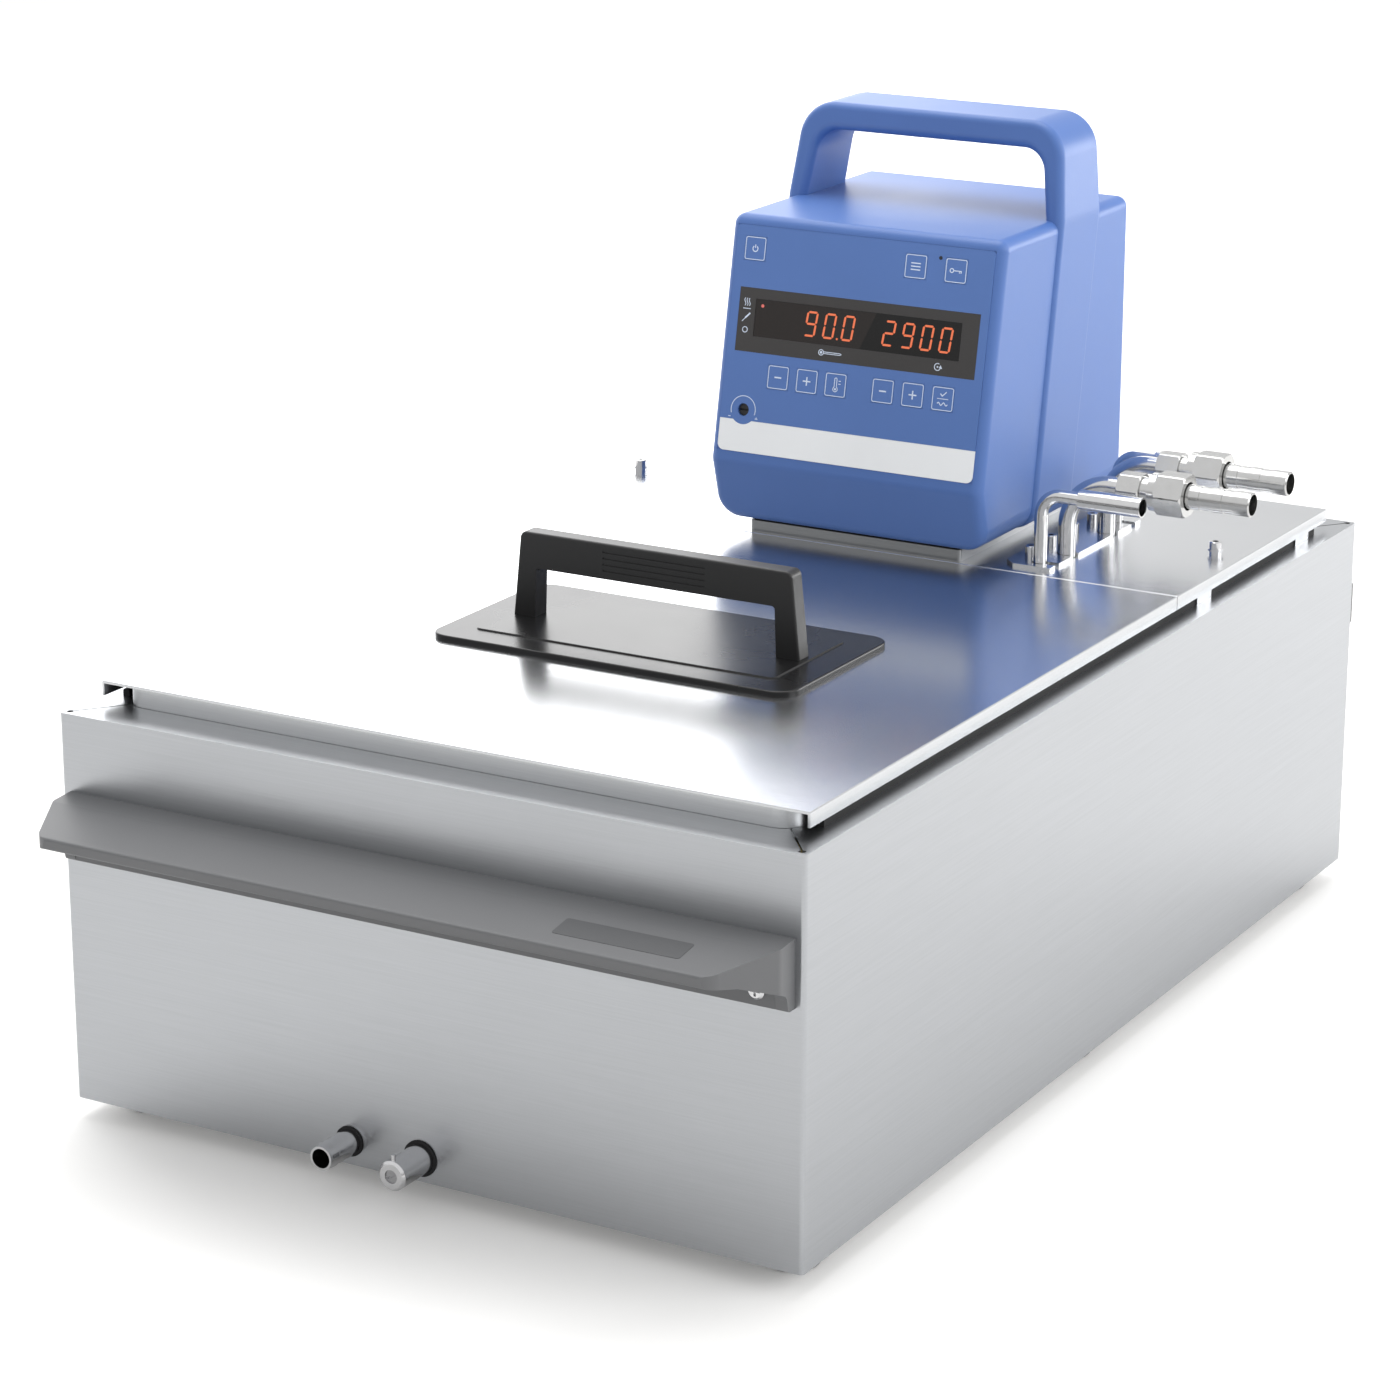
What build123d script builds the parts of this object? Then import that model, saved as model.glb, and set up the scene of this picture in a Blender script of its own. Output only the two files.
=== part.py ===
from build123d import *
import os
from math import atan2, cos, degrees, radians, sin, sqrt, tan

# Circulating water bath: an insulated steel tank with lift-off lids and an
# immersion circulator standing on a bridge plate at the back.
# Millimetres. +X to the right, +Y to the back, +Z up, feet on Z = 0.

# How far a cut runs past the surface that it opens
over = 1.0

# Rows of pieces around a centre
full_turn = 360.0

# Hexagons and cap screws
hex_sides = 6
hex_easing = 0.2
hex_chamfer_share = 0.042
cap_chamfer_share = 0.1

# Casing
casing_height = 163.5
sheet = 1.0
casing_edge = 1.8
mitre_slit = 0.8
mitre_hole = 1.4
base_lip = 13.0

# Feet
foot_height = 9.0
foot_radius = 11.0
foot_inset = 18.5
foot_end_inset = 26.0
foot_chamfer = 1.3
foot_pocket_start = 4.0
foot_pocket_radius = 3.3

# Tank
tub_width = 282.0
tub_length = 465.0
tub_depth = 151.0
tub_corner = 14.0
tub_floor_edge = 10.0
rim_land = 9.5
rim_rise = 8.5
rim_corner = 9.5
rim_edge = 1.6
rim_foot = 7.0
flange_gap = 0.3

# Insulated space between tank and casing
side_space = 26.5
end_space = 31.0
insulation_gap = 1.5
foam_corner_share = 0.4

# Drain
drain_height = 9.8
nozzle_x = -33.4
valve_x = -0.4
nozzle_reach = 19.6
valve_reach = 20.3
nozzle_radius = 4.9
nozzle_bore = 4.0
barb_height = 0.5
barb_count = 3
valve_radius = 6.1
spindle_radius = 2.75
barb_share = 0.7
plug_radius = 6.1
plug_end_wall = 3.0
port_radius = 2.8
sieve_hole = 1.1
sieve_circle = 2.6
sieve_holes = 6
drive_square = 3.0
drive_length = 3.0
valve_play = 0.2
valve_chamfer = 1.0
valve_pin_radius = 0.9
valve_pin_inset = 2.0
valve_pin_rise = 2.4
spindle_sink = 0.6
spindle_slot_depth = 1.0
spindle_slot_half = 0.45
spindle_slot_turn = -35.0
ring_proud = 0.6
block_floor = 0.5
stub_inset = 1.0
valve_depth = 21.0
ring_wall = 0.9
block_wall = 4.0
fit_gap = 0.05

# Carrying ledges
ledge_height = 131.4
ledge_half = 163.5
ledge_front_half = 149.5
ledge_reach = 38.9
ledge_drop = 5.0
ledge_lip = 4.8
ledge_back_height = 27.0
ledge_wall = 5.0
ledge_skin = 3.8
ledge_corner = 8.0
ledge_shoulder = 11.0
ledge_shoulder_round = 4.0
ledge_screw_inset = 12.6
ledge_screw_drop = 20.2
ledge_flat = 11.7
ledge_flat_drop = 0.8
ledge_nose_lean = 0.6
ledge_nose_round = 1.2
ledge_nose_wall = 2.2
ledge_belly_share = 0.7
ledge_belly_drop = 2.0
ledge_belly_round = 4.0
ledge_root_share = 0.16
ledge_root_rise = 6.8
ledge_root_round = 1.5
ledge_scoop_round = 3.0
screw_head = 3.5
screw_head_rise = 2.2
screw_chamfer = 0.8
screw_cross_half = 2.1
screw_cross_width = 0.5
screw_cross_depth = 1.2
screw_shank = 2.0

# Lids
lid_sheet = 1.0
lid_overhang = 8.0
lid_end_overhang = 2.8
lid_flange = 5.0
lid_easing = 0.4
seam_y = 78.2
seam_gap = 0.5
cover_x = 3.0
cover_y = -88.0
cover_width = 169.0
cover_length = 88.0
cover_thickness = 2.2
cover_corner = 9.0
cover_easing = 0.75
cover_panel_inset = 14.0
cover_panel_rise = 0.6
cover_panel_corner = 3.0
cover_panel_chamfer = 0.5
cover_seat = 13.0
cover_lip_height = 5.0
cover_lip_wall = 1.6
cover_lip_gap = 0.8
grip_height = 36.0
grip_foot_half = 67.5
grip_top_half = 63.7
grip_foot_width = 10.5
grip_bar = 15.0
grip_depth = 8.8
grip_corner = 3.0
grip_inner_draft = 0.8
grip_easing = 1.05
groove_length = 48.0
groove_pitch = 2.6
groove_depth = 0.4
groove_count = 4
groove_half = 0.35

# Bridge plate
tab_starts = (21.6, 131.6)
tab_length = 15.0
stud_y = 148.0
stud_radius = 2.8
stud_height = 6.0
stud_collar = 3.5
stud_collar_rise = 2.1
stud_collar_height = 0.7
stud_shank = 1.6

# Circulator head
head_x = 3.0
head_half = 67.0
head_front = 68.4
head_depth = 148.6
head_height = 134.5
chin_height = 27.5
chin_back = 7.5
face_lean = 11.1
wall = 2.5
straight = 0.99
head_round = 5.0
kink_round = 6.0
bottom_round = 11.0
neck_front = 80.5
neck_half = 52.5
neck_depth = 124.5
neck_height = 5.2
neck_wall = 2.0
seal_height = 1.3
seal_width = 4.0

# Carrying handle, one moulding with the rear shell
seam_back = 73.3
seam_lean = 9.7
strap_proud = 1.6
strap_depth = 41.5
strap_top_depth = 37.0
handle_rise = 42.0
handle_top_half = 64.0
grip_thickness = 12.3
leg_base_half = 59.5
leg_top_half = 55.0
handle_outer_round = 17.0
handle_inner_round = 11.0
handle_edge = 3.6
leg_sweep = 30.0
strap_sweep = 20.0
rim_reach = 3.0

# Front panel, measured along the leaning face from the kink
foil_start = 5.0
foil_half = 63.0
foil_height = 99.8
foil_recess = 0.4
foil_thickness = 0.6
panel_gap = 0.2
strip_height = 14.1
strip_corner = 3.0
foil_corner = 1.5
window_half = 59.0
window_low = 44.3
window_high = 72.5
lens_half = 50.7
lens_low = 51.3
lens_high = 68.0
lens_recess = 0.3
lens_seat = 1.0
light_block_gap = 0.2
key_size = 10.5
key_gap = 0.1
key_proud = 0.3
key_thickness = 0.9
key_stem = 2.0
key_travel = 0.4
key_chamfer = 0.15
key_switch = 4.2
key_row_low = 34.6
key_row_high = 89.7
key_places = (
    ("key_power", -53.5, key_row_high),
    ("key_menu", 25.7, key_row_high),
    ("key_lock", 45.1, key_row_high),
    ("key_heat_minus", -36.0, key_row_low),
    ("key_heat_plus", -21.6, key_row_low),
    ("key_heat_set", -7.3, key_row_low),
    ("key_pump_minus", 15.9, key_row_low),
    ("key_pump_plus", 30.5, key_row_low),
    ("key_pump_set", 45.1, key_row_low),
)
adjuster_u = -51.8
adjuster_v = 18.7
adjuster_radius = 2.6
adjuster_collar = 6.5
adjuster_sink = 1.0
adjuster_slot_depth = 1.2
adjuster_slot_width = 0.8
board_depth = 7.4
board_thickness = 1.6
board_low = 6.0
board_height = 90.0
board_edge = 3.0
stem_shorter = 2.0
digit_height = 11.2
digit_width = 5.6
digit_pitch = 9.2
digit_stroke = 0.9
digit_gap = 0.18
digit_slant = 6.0
digit_depth = 0.2
digit_row = 59.7
left_digits_u = -13.2
right_digits_u = 25.2

# Drive
motor_y = 150.0
shaft_radius = 3.0
running_gap = 0.05
motor_radius = 28.0
motor_height = 62.0
motor_wall = 3.0
stator_bore = 17.0
rotor_radius = 15.5
rotor_height = 36.0
bearing_radius = 8.0
bearing_height = 5.0
bearing_sink = 0.5
fan_radius = 25.0
fan_height = 8.0
fan_blades = 7
fan_hub = 7.2
fan_pitch = 35.0
blade_thickness = 1.2
blade_inset = 0.8
shaft_above = 17.0
shaft_tip = 3.0
pump_radius = 24.0
pump_height = 22.0
pump_floor = 46.0
pump_wall = 3.0
impeller_radius = 16.0
impeller_height = 8.0
impeller_blades = 6
impeller_hub = 6.0
port_near = 12.0
port_far = 8.0
port_length = 8.0
port_wall = 1.5
pump_inlet = 8.5
pump_shaft_gap = 0.5
column_radius = 3.0
column_circle = 19.0
column_count = 3

# Heater, sensors and float, hanging from the neck frame
heater_radius = 3.2
heater_half = 36.0
heater_floor = 14.0
heater_turn = 12.0
heater_leg = 10.0
sensor_radius = 2.2
sensor_tip_round = 1.5
sensor_floor = 55.0
sensor_places = ((36.0, 172.0), (28.0, 182.0))
float_x = -33.0
float_y = 128.0
guide_radius = 2.0
guide_length = 92.0
guide_stop = 4.0
float_radius = 8.0
float_height = 16.0
float_travel = 25.0
float_gap = 0.4
float_round = 1.6

# Pipes through the bridge plate
coil_x = 88.0
coil_near = 93.3
coil_far = 173.0
coil_height = 32.0
coil_radius = 3.0
coil_bend = 9.0
coil_turn = 12.0
coil_end = 135.5
sleeve_start = 107.5
sleeve_radius = 4.4
sleeve_bore = 3.7
sleeve_wall = 6.0
coil_left = -62.0
coil_inner = 14.0
coil_behind = 35.0
coil_pitch = 5.0
coil_drop = 74.0
pipe_x = 91.6
pipe_near = 112.5
pipe_far = 154.0
pipe_height = 34.5
pipe_radius = 4.0
pipe_bend = 20.0
pipe_wall = 1.0
pipe_turn = 14.0
pipe_run = 26.0
union_start = 117.0
union_hex = 13.5
union_hex_length = 10.5
union_neck = 6.0
union_neck_length = 4.5
union_ring = 8.5
union_ring_length = 3.3
nut_flats = 17.7
nut_length = 13.2
nut_bore = 6.2
hose_radius = 5.4
hose_bore = 4.6
hose_reach = 178.0
hose_chamfer = 0.5
hose_grooves = (23.2, 12.7)
hose_groove_width = 5.1
hose_groove_depth = 0.25
hose_collar = 3.3
pipe_plate_left = 73.0
pipe_plate_edge = 5.4
pipe_plate_end = 7.5
pipe_plate_thickness = 1.5
pipe_hole_gap = 0.5
pipe_slot_share = 0.6
pipe_screw_x = 79.8
pipe_screw_places = (101.0, 121.5, 144.5, 164.5)
pipe_screw_radius = 2.5
pipe_screw_height = 4.6
pipe_screw_shank = 1.25

# Sockets in the head's rear wall
inlet_x = -24.0
inlet_height = 34.0
inlet_width = 56.0
inlet_rise = 28.0
inlet_depth = 20.0
inlet_plate = 2.0
inlet_frame = 3.0
inlet_well_width = 26.0
inlet_well_height = 18.0
inlet_well_depth = 16.0
inlet_well_low_round = 1.0
inlet_well_top_round = 3.6
socket_gap = 0.3
inlet_pins = ((-7.0, -1.8), (0.0, 2.7), (7.0, -1.8))
pin_half_width = 1.0
pin_half_height = 2.0
pin_sink = 5.0
rocker_width = 13.0
rocker_height = 19.0
rocker_shift = 16.5
rocker_gap = 0.4
rocker_angle = 10.0
rocker_pivot_sink = 4.5
rocker_pin_radius = 1.2
rocker_pin_half = 7.7
rocker_outline = ((-4.5, -0.55), (-4.5, 0.55), (1.3, 0.93), (5.1, 0.9), (6.7, 0.0),
                  (5.1, -0.9), (1.3, -0.93))
rocker_rounds = (1.0, 1.0, 1.0, 0.6, 6.0, 0.6, 1.0)
data_x = 34.0
data_width = 31.0
data_rise = 12.5
data_depth = 9.0
data_edge = 2.0
data_plate = 1.2
data_shell_half = 8.4
data_shell_rise = 8.25
data_shell_reach = 5.5
data_shell_wall = 0.7
data_shell_round = 1.5
data_post_radius = 2.4
data_post_length = 5.0
data_post_shift = 12.4
vent_count = 6
vent_width = 60.0
vent_slot = 2.4
vent_pitch = 6.0
vent_height = 96.0
power_board_y = 184.0
power_board_height = 100.0
power_board_low = 13.0
transformer_width = 46.0
transformer_depth = 24.0
transformer_height = 34.0
transformer_edge = 2.0
winding_inset = 7.0
board_gap = 0.25
capacitor_count = 3
capacitor_edge = 14.0
capacitor_pitch = 11.0
capacitor_length = 14.0
capacitor_radius = 4.5
shell_screw_half = 40.0

# Places worked out from the sizes above
casing_width = tub_width + 2 * side_space
casing_depth = tub_length + 2 * end_space
casing_half = casing_width / 2
casing_end = casing_depth / 2
casing_top = foot_height + casing_height
rim_top = casing_top + rim_rise
plate_top = rim_top + lid_sheet
tub_floor = rim_top - tub_depth
rim_half = tub_width / 2 + sheet + rim_land
rim_end = tub_length / 2 + sheet + rim_land
lid_half = rim_half + lid_overhang
lid_end = rim_end + lid_end_overhang
lid_split = seam_gap / 2
drain_z = foot_height + drain_height
panel_y = -casing_end
valve_seat_y = panel_y + valve_depth
stub_y = tub_floor_edge + nozzle_radius + stub_inset - tub_length / 2
plug_end_y = stub_y + port_radius + plug_end_wall
block_end = plug_end_y + block_wall
head_bottom = plate_top + neck_height + seal_height
head_top = head_bottom + head_height
head_rear = head_front + head_depth
kink_z = head_bottom + chin_height
neck_top = plate_top + neck_height
neck_back = neck_front + neck_depth
cover_bottom = plate_top
cover_top = plate_top + cover_thickness + cover_panel_rise
motor_top = neck_top + motor_height
pump_bottom = tub_floor + pump_floor - pump_height / 2
pump_top = pump_bottom + pump_height
coil_z = plate_top + coil_height
pipe_z = plate_top + pipe_height
union_ring_start = union_start + union_hex_length + union_neck_length
nut_start = union_ring_start + union_ring_length
nut_end = nut_start + nut_length
centre_shift = (casing_half - hose_reach) / 2

face = Plane(
    origin=(head_x, head_front + foil_start * sin(radians(face_lean)),
            kink_z + foil_start * cos(radians(face_lean))),
    x_dir=(1, 0, 0),
    z_dir=(0, -cos(radians(face_lean)), sin(radians(face_lean))),
)


# Helpers for plain shapes

def block(x0, x1, y0, y1, z0, z1):
    middle = ((x0 + x1) / 2, (y0 + y1) / 2, (z0 + z1) / 2)
    return Pos(*middle) * Box(x1 - x0, y1 - y0, z1 - z0)


def slab(half, y0, y1, z0, z1, corner, x=0.0):
    outline = RectangleRounded(2 * half, y1 - y0, corner)
    return Pos(x, (y0 + y1) / 2, z0) * extrude(outline, z1 - z0)


def rod_z(x, y, z0, z1, radius):
    return Pos(x, y, (z0 + z1) / 2) * Cylinder(radius, z1 - z0)


def rod_x(x0, x1, y, z, radius):
    return Pos((x0 + x1) / 2, y, z) * Rot(0, 90, 0) * Cylinder(radius, x1 - x0)


def rod_y(x, y0, y1, z, radius):
    return Pos(x, (y0 + y1) / 2, z) * Rot(90, 0, 0) * Cylinder(radius, y1 - y0)


def hex_x(x0, x1, y, z, flats):
    corner = flats / sqrt(3)
    bar = Plane.YZ * RegularPolygon(corner, hex_sides)
    full = Pos(x0, y, z) * extrude(bar, x1 - x0)
    round_off = Pos(x0, y, z) * extrude(Plane.YZ * Circle(corner - hex_easing), x1 - x0)
    return full & chamfer(round_off.edges(), hex_chamfer_share * flats)


def outline_face(points, radii):
    if max(radii) == 0:
        return make_face(Polyline(*points, close=True))
    return make_face(FilletPolyline(*points, radius=radii, close=True))


def prism_x(points, radii, x0, x1):
    """An outline of (y, z) points, drawn out along X."""
    return Pos(x0, 0, 0) * extrude(Plane.YZ * outline_face(points, radii), x1 - x0)


def prism_y(points, radii, y0, y1):
    """An outline of (x, z) points, drawn out along Y."""
    return Pos(0, y1, 0) * extrude(Plane.XZ * outline_face(points, radii), y1 - y0)


def inset_points(points, distance):
    """The points of a convex outline, run anticlockwise, moved inwards."""
    lines = []
    count = len(points)
    for i in range(count):
        (ax, ay), (bx, by) = points[i], points[(i + 1) % count]
        length = sqrt((bx - ax) ** 2 + (by - ay) ** 2)
        nx, ny = -(by - ay) / length, (bx - ax) / length
        lines.append((nx, ny, nx * ax + ny * ay + distance))
    moved = []
    for i in range(count):
        a1, b1, c1 = lines[i - 1]
        a2, b2, c2 = lines[i]
        det = a1 * b2 - a2 * b1
        moved.append(((c1 * b2 - c2 * b1) / det, (a1 * c2 - a2 * c1) / det))
    return moved


def on_face(u, v, low, high, width, height):
    """A box on the leaning face, from depth low to depth high."""
    box = Box(width, height, high - low)
    return face * Pos(u, v, (low + high) / 2) * box


def pin_on_face(u, v, low, high, radius):
    return face * Pos(u, v, (low + high) / 2) * Cylinder(radius, high - low)


def along_axis(edge):
    """How far an edge's middle runs along X, Y and Z, each from 0 to 1."""
    way = edge.tangent_at(1 / 2)
    return Vector(abs(way.X), abs(way.Y), abs(way.Z))


def tube_along(points, turn, radius, bore):
    """A bent tube; the bore is left out where it is zero."""
    path = FilletPolyline(*points, radius=turn)
    start = Plane(origin=path @ 0, z_dir=path % 0)
    section = Circle(radius) - Circle(bore) if bore else Circle(radius)
    return sweep(start * section, path=path)


def screw(x, y, z, head_radius, head_height, shank_radius, shank_length):
    """A cap screw standing on its head, with a hexagon socket."""
    head = rod_z(x, y, z, z + head_height, head_radius)
    head = chamfer(head.edges().sort_by(Axis.Z)[-1], cap_chamfer_share * head_radius)
    socket = Pos(x, y, z + head_height / 2) * extrude(
        RegularPolygon(head_radius / 2, hex_sides), head_height)
    shank = rod_z(x, y, z - shank_length, z, shank_radius)
    return head - socket + shank


# Casing, feet and base

def corner_signs():
    return [(sx, sy) for sx in (-1, 1) for sy in (-1, 1)]


def casing():
    body = slab(casing_half, -casing_end, casing_end, foot_height, casing_top, casing_edge)
    inner = slab(casing_half - sheet, -casing_end + sheet, casing_end - sheet,
                 foot_height, casing_top - sheet, casing_edge / 2)
    mouth = slab(rim_half + flange_gap, -rim_end - flange_gap, rim_end + flange_gap,
                 casing_top - 2 * sheet, casing_top + sheet, rim_corner)
    body = body - inner - mouth
    lip = slab(casing_half - sheet, -casing_end + sheet, casing_end - sheet,
               foot_height + sheet, foot_height + 2 * sheet, casing_edge / 2)
    lip -= slab(casing_half - sheet - base_lip, -casing_end + sheet + base_lip,
                casing_end - sheet - base_lip, foot_height, foot_height + 3 * sheet, base_lip)
    body += lip
    inset = casing_edge + mitre_hole
    for sx, sy in corner_signs():
        cx, cy = sx * (casing_half - inset), sy * (casing_end - inset)
        ix, iy = sx * (rim_half - rim_corner / 2), sy * (rim_end - rim_corner / 2)
        reach = sqrt((cx - ix) ** 2 + (cy - iy) ** 2)
        angle = degrees(atan2(cy - iy, cx - ix))
        slit = Box(reach, mitre_slit, 3 * sheet)
        body -= Pos((cx + ix) / 2, (cy + iy) / 2, casing_top) * Rot(0, 0, angle) * slit
        body -= rod_z(cx, cy, casing_top - 2 * sheet, casing_top + sheet, mitre_hole)
    for x, radius in ((nozzle_x, nozzle_radius), (valve_x, valve_radius)):
        hole = radius + barb_height + ring_wall
        body -= rod_y(x, panel_y - sheet, panel_y + 2 * sheet, drain_z, hole)
    for sy in (-1, 1):
        for sx in (-1, 1):
            x, z = ledge_screw_place(sx)
            body -= rod_y(x, sy * casing_end - 2 * sheet, sy * casing_end + 2 * sheet,
                          z, screw_shank + fit_gap)
    return body


def base_plate():
    gap = sheet + flange_gap
    return slab(casing_half - gap, -casing_end + gap, casing_end - gap,
                foot_height, foot_height + sheet, casing_edge / 2)


def foot_places():
    x = casing_half - foot_inset
    y = casing_end - foot_end_inset
    return [(sx * x, py) for sx in (-1, 1) for py in (-y, 0.0, y)]


def feet():
    group = []
    for x, y in foot_places():
        foot = rod_z(x, y, 0, foot_height, foot_radius)
        foot = chamfer(foot.edges().sort_by(Axis.Z)[0], foot_chamfer)
        foot -= rod_z(x, y, foot_pocket_start, foot_height, foot_pocket_radius)
        group.append(foot)
    return Compound(children=group)


# Tank and insulation

def tub():
    half, end = tub_width / 2, tub_length / 2
    basin = slab(half + sheet, -end - sheet, end + sheet, tub_floor - sheet, rim_top,
                 tub_corner + sheet)
    basin = fillet(basin.faces().sort_by(Axis.Z)[0].edges(), tub_floor_edge)
    rim = slab(rim_half, -rim_end, rim_end, casing_top - sheet, rim_top, rim_corner)
    rim = fillet(rim.faces().sort_by(Axis.Z)[-1].edges(), rim_edge)
    under = slab(rim_half - sheet, -rim_end + sheet, rim_end - sheet,
                 casing_top - 2 * sheet, rim_top - sheet, rim_corner - sheet)
    flange = slab(rim_half + rim_foot, -rim_end - rim_foot, rim_end + rim_foot,
                  casing_top - 2 * sheet, casing_top - sheet, rim_corner + rim_foot)
    shell = rim + flange - under + basin
    cavity = slab(half, -end, end, tub_floor, rim_top + sheet, tub_corner)
    cavity = fillet(cavity.faces().sort_by(Axis.Z)[0].edges(), tub_floor_edge - sheet)
    shell -= cavity
    stub_low = drain_z + valve_radius + block_wall / 2
    shell += rod_z(valve_x, stub_y, stub_low, tub_floor - sheet / 2, nozzle_radius)
    shell -= rod_z(valve_x, stub_y, drain_z, tub_floor - sheet, nozzle_bore)
    for x, y in sieve_places():
        shell -= rod_z(x, y, tub_floor - 2 * sheet, tub_floor + sheet, sieve_hole)
    return shell


def sieve_places():
    """The holes of the sieve over the drain stub: one in the middle and a ring."""
    places = [(valve_x, stub_y)]
    for i in range(sieve_holes):
        angle = radians(full_turn * i / sieve_holes)
        places.append((valve_x + sieve_circle * cos(angle), stub_y + sieve_circle * sin(angle)))
    return places


def insulation():
    """Foam slabs glued to the casing, clear of the tank, and one on the base lip."""
    gap = insulation_gap
    inner_x = tub_width / 2 + sheet + gap
    inner_y = tub_length / 2 + sheet + gap
    outer_x = casing_half - sheet
    outer_y = casing_end - sheet
    low = drain_z + valve_radius + block_wall + gap
    high = casing_top - 2 * sheet - gap
    corner = min(tub_corner, foam_corner_share * (outer_x - inner_x))
    reach = outer_y - casing_edge
    pieces = []
    for s in (-1, 1):
        x0, x1 = sorted((s * inner_x, s * outer_x))
        pieces.append(block(x0, x1, -reach, reach, low, high))
        y0, y1 = sorted((s * inner_y, s * outer_y))
        pieces.append(block(-inner_x + corner, inner_x - corner, y0, y1, low, high))
    pieces.append(block(casing_edge - outer_x, outer_x - casing_edge, block_end + gap, reach,
                        foot_height + 2 * sheet, tub_floor - sheet - gap))
    return Compound(children=pieces)


# Drain

def drain_block():
    """Water falls into the cock's bore and leaves sideways, towards the nozzle."""
    x0 = nozzle_x - nozzle_radius - block_wall
    x1 = valve_x + valve_radius + block_wall
    y0 = panel_y + sheet
    top = drain_z + valve_radius + block_wall / 2
    low = drain_z - valve_radius - block_floor
    body = block(x0, x1, y0, block_end, low, top)
    outlet_end = stub_y + nozzle_radius
    body -= rod_y(nozzle_x, y0 - sheet, outlet_end, drain_z, nozzle_radius + fit_gap)
    body -= rod_y(valve_x, y0 - sheet, plug_end_y + valve_play, drain_z,
                  valve_radius + fit_gap)
    body -= rod_z(valve_x, stub_y, drain_z, top + sheet, port_radius)
    return body - rod_x(nozzle_x, valve_x, stub_y, drain_z, port_radius)


def barbed_tube(length, radius, bore):
    """A hose nozzle along +X from 0, with shallow barbs."""
    step = length / (barb_count + 1)
    points = [(0, bore), (0, radius)]
    for i in range(barb_count):
        x = length - (barb_count - i) * step
        points += [(x, radius), (x, radius + barb_height), (x + barb_share * step, radius)]
    points += [(length, radius), (length, bore)]
    return revolve(make_face(Polyline(*points, close=True)), Axis.X)


def drain_nozzle():
    tube = barbed_tube(nozzle_reach, nozzle_radius, nozzle_bore)
    tail = valve_depth
    tube += Pos(-tail / 2, 0, 0) * Rot(0, 90, 0) * (
        Cylinder(nozzle_radius, tail) - Cylinder(nozzle_bore, tail))
    return Pos(nozzle_x, panel_y, drain_z) * Rot(0, 0, -90) * tube


def drain_valve_body():
    front = panel_y - valve_reach
    body = rod_y(valve_x, front, valve_seat_y - valve_play, drain_z, valve_radius)
    body = chamfer(body.edges().sort_by(Axis.Y)[0], valve_chamfer)
    body -= rod_y(valve_x, front - over, casing_end, drain_z, spindle_radius + running_gap)
    top = drain_z + valve_radius
    pin = rod_z(valve_x, front + valve_pin_inset, top - valve_play, top + valve_pin_rise,
                valve_pin_radius)
    return body + pin


def drain_spindle():
    """The slotted spindle, with a square end that drives the cock."""
    front = panel_y - valve_reach + spindle_sink
    body = rod_y(valve_x, front, valve_seat_y - valve_play, drain_z, spindle_radius)
    slot = block(-spindle_radius, spindle_radius, front - over, front + spindle_slot_depth,
                 -spindle_slot_half, spindle_slot_half)
    body -= Pos(valve_x, 0, drain_z) * Rot(0, spindle_slot_turn, 0) * slot
    return body + square_drive(drive_square, valve_seat_y + drive_length - valve_play)


def square_drive(width, end):
    start = valve_seat_y - valve_play
    return block(valve_x - width / 2, valve_x + width / 2, start, end,
                 drain_z - width / 2, drain_z + width / 2)


def drain_plug():
    """The cock: its angled port faces left and down while the drain is shut."""
    body = rod_y(valve_x, valve_seat_y, plug_end_y, drain_z, plug_radius)
    body -= rod_x(valve_x - plug_radius - over, valve_x, stub_y, drain_z, port_radius)
    body -= rod_z(valve_x, stub_y, drain_z - plug_radius - over, drain_z, port_radius)
    return body - square_drive(drive_square + 2 * fit_gap, valve_seat_y + drive_length)


def drain_seals():
    rings = []
    for x, radius in ((nozzle_x, nozzle_radius), (valve_x, valve_radius)):
        outer = radius + barb_height + ring_wall
        ring = rod_y(x, panel_y - ring_proud, panel_y + sheet, drain_z,
                     outer - fit_gap)
        ring -= rod_y(x, panel_y - over, panel_y + 2 * sheet, drain_z, radius + fit_gap)
        rings.append(ring)
    return Compound(children=rings)


# Carrying ledges

def ledge_screw_place(side):
    x = side * (ledge_half - ledge_screw_inset)
    return x, foot_height + ledge_height - ledge_screw_drop


def ledge_plan(inset, near, far):
    """The ledge seen from above: straight ends, then slanting to a narrower front."""
    back, front = ledge_half - inset, ledge_front_half - inset
    corner = ledge_corner - inset / 2
    turn = ledge_shoulder_round
    points = [(-back, -near), (-back, -ledge_shoulder), (-front, -far),
              (front, -far), (back, -ledge_shoulder), (back, -near)]
    return outline_face(points, [0, turn, corner, corner, turn, 0])


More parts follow.
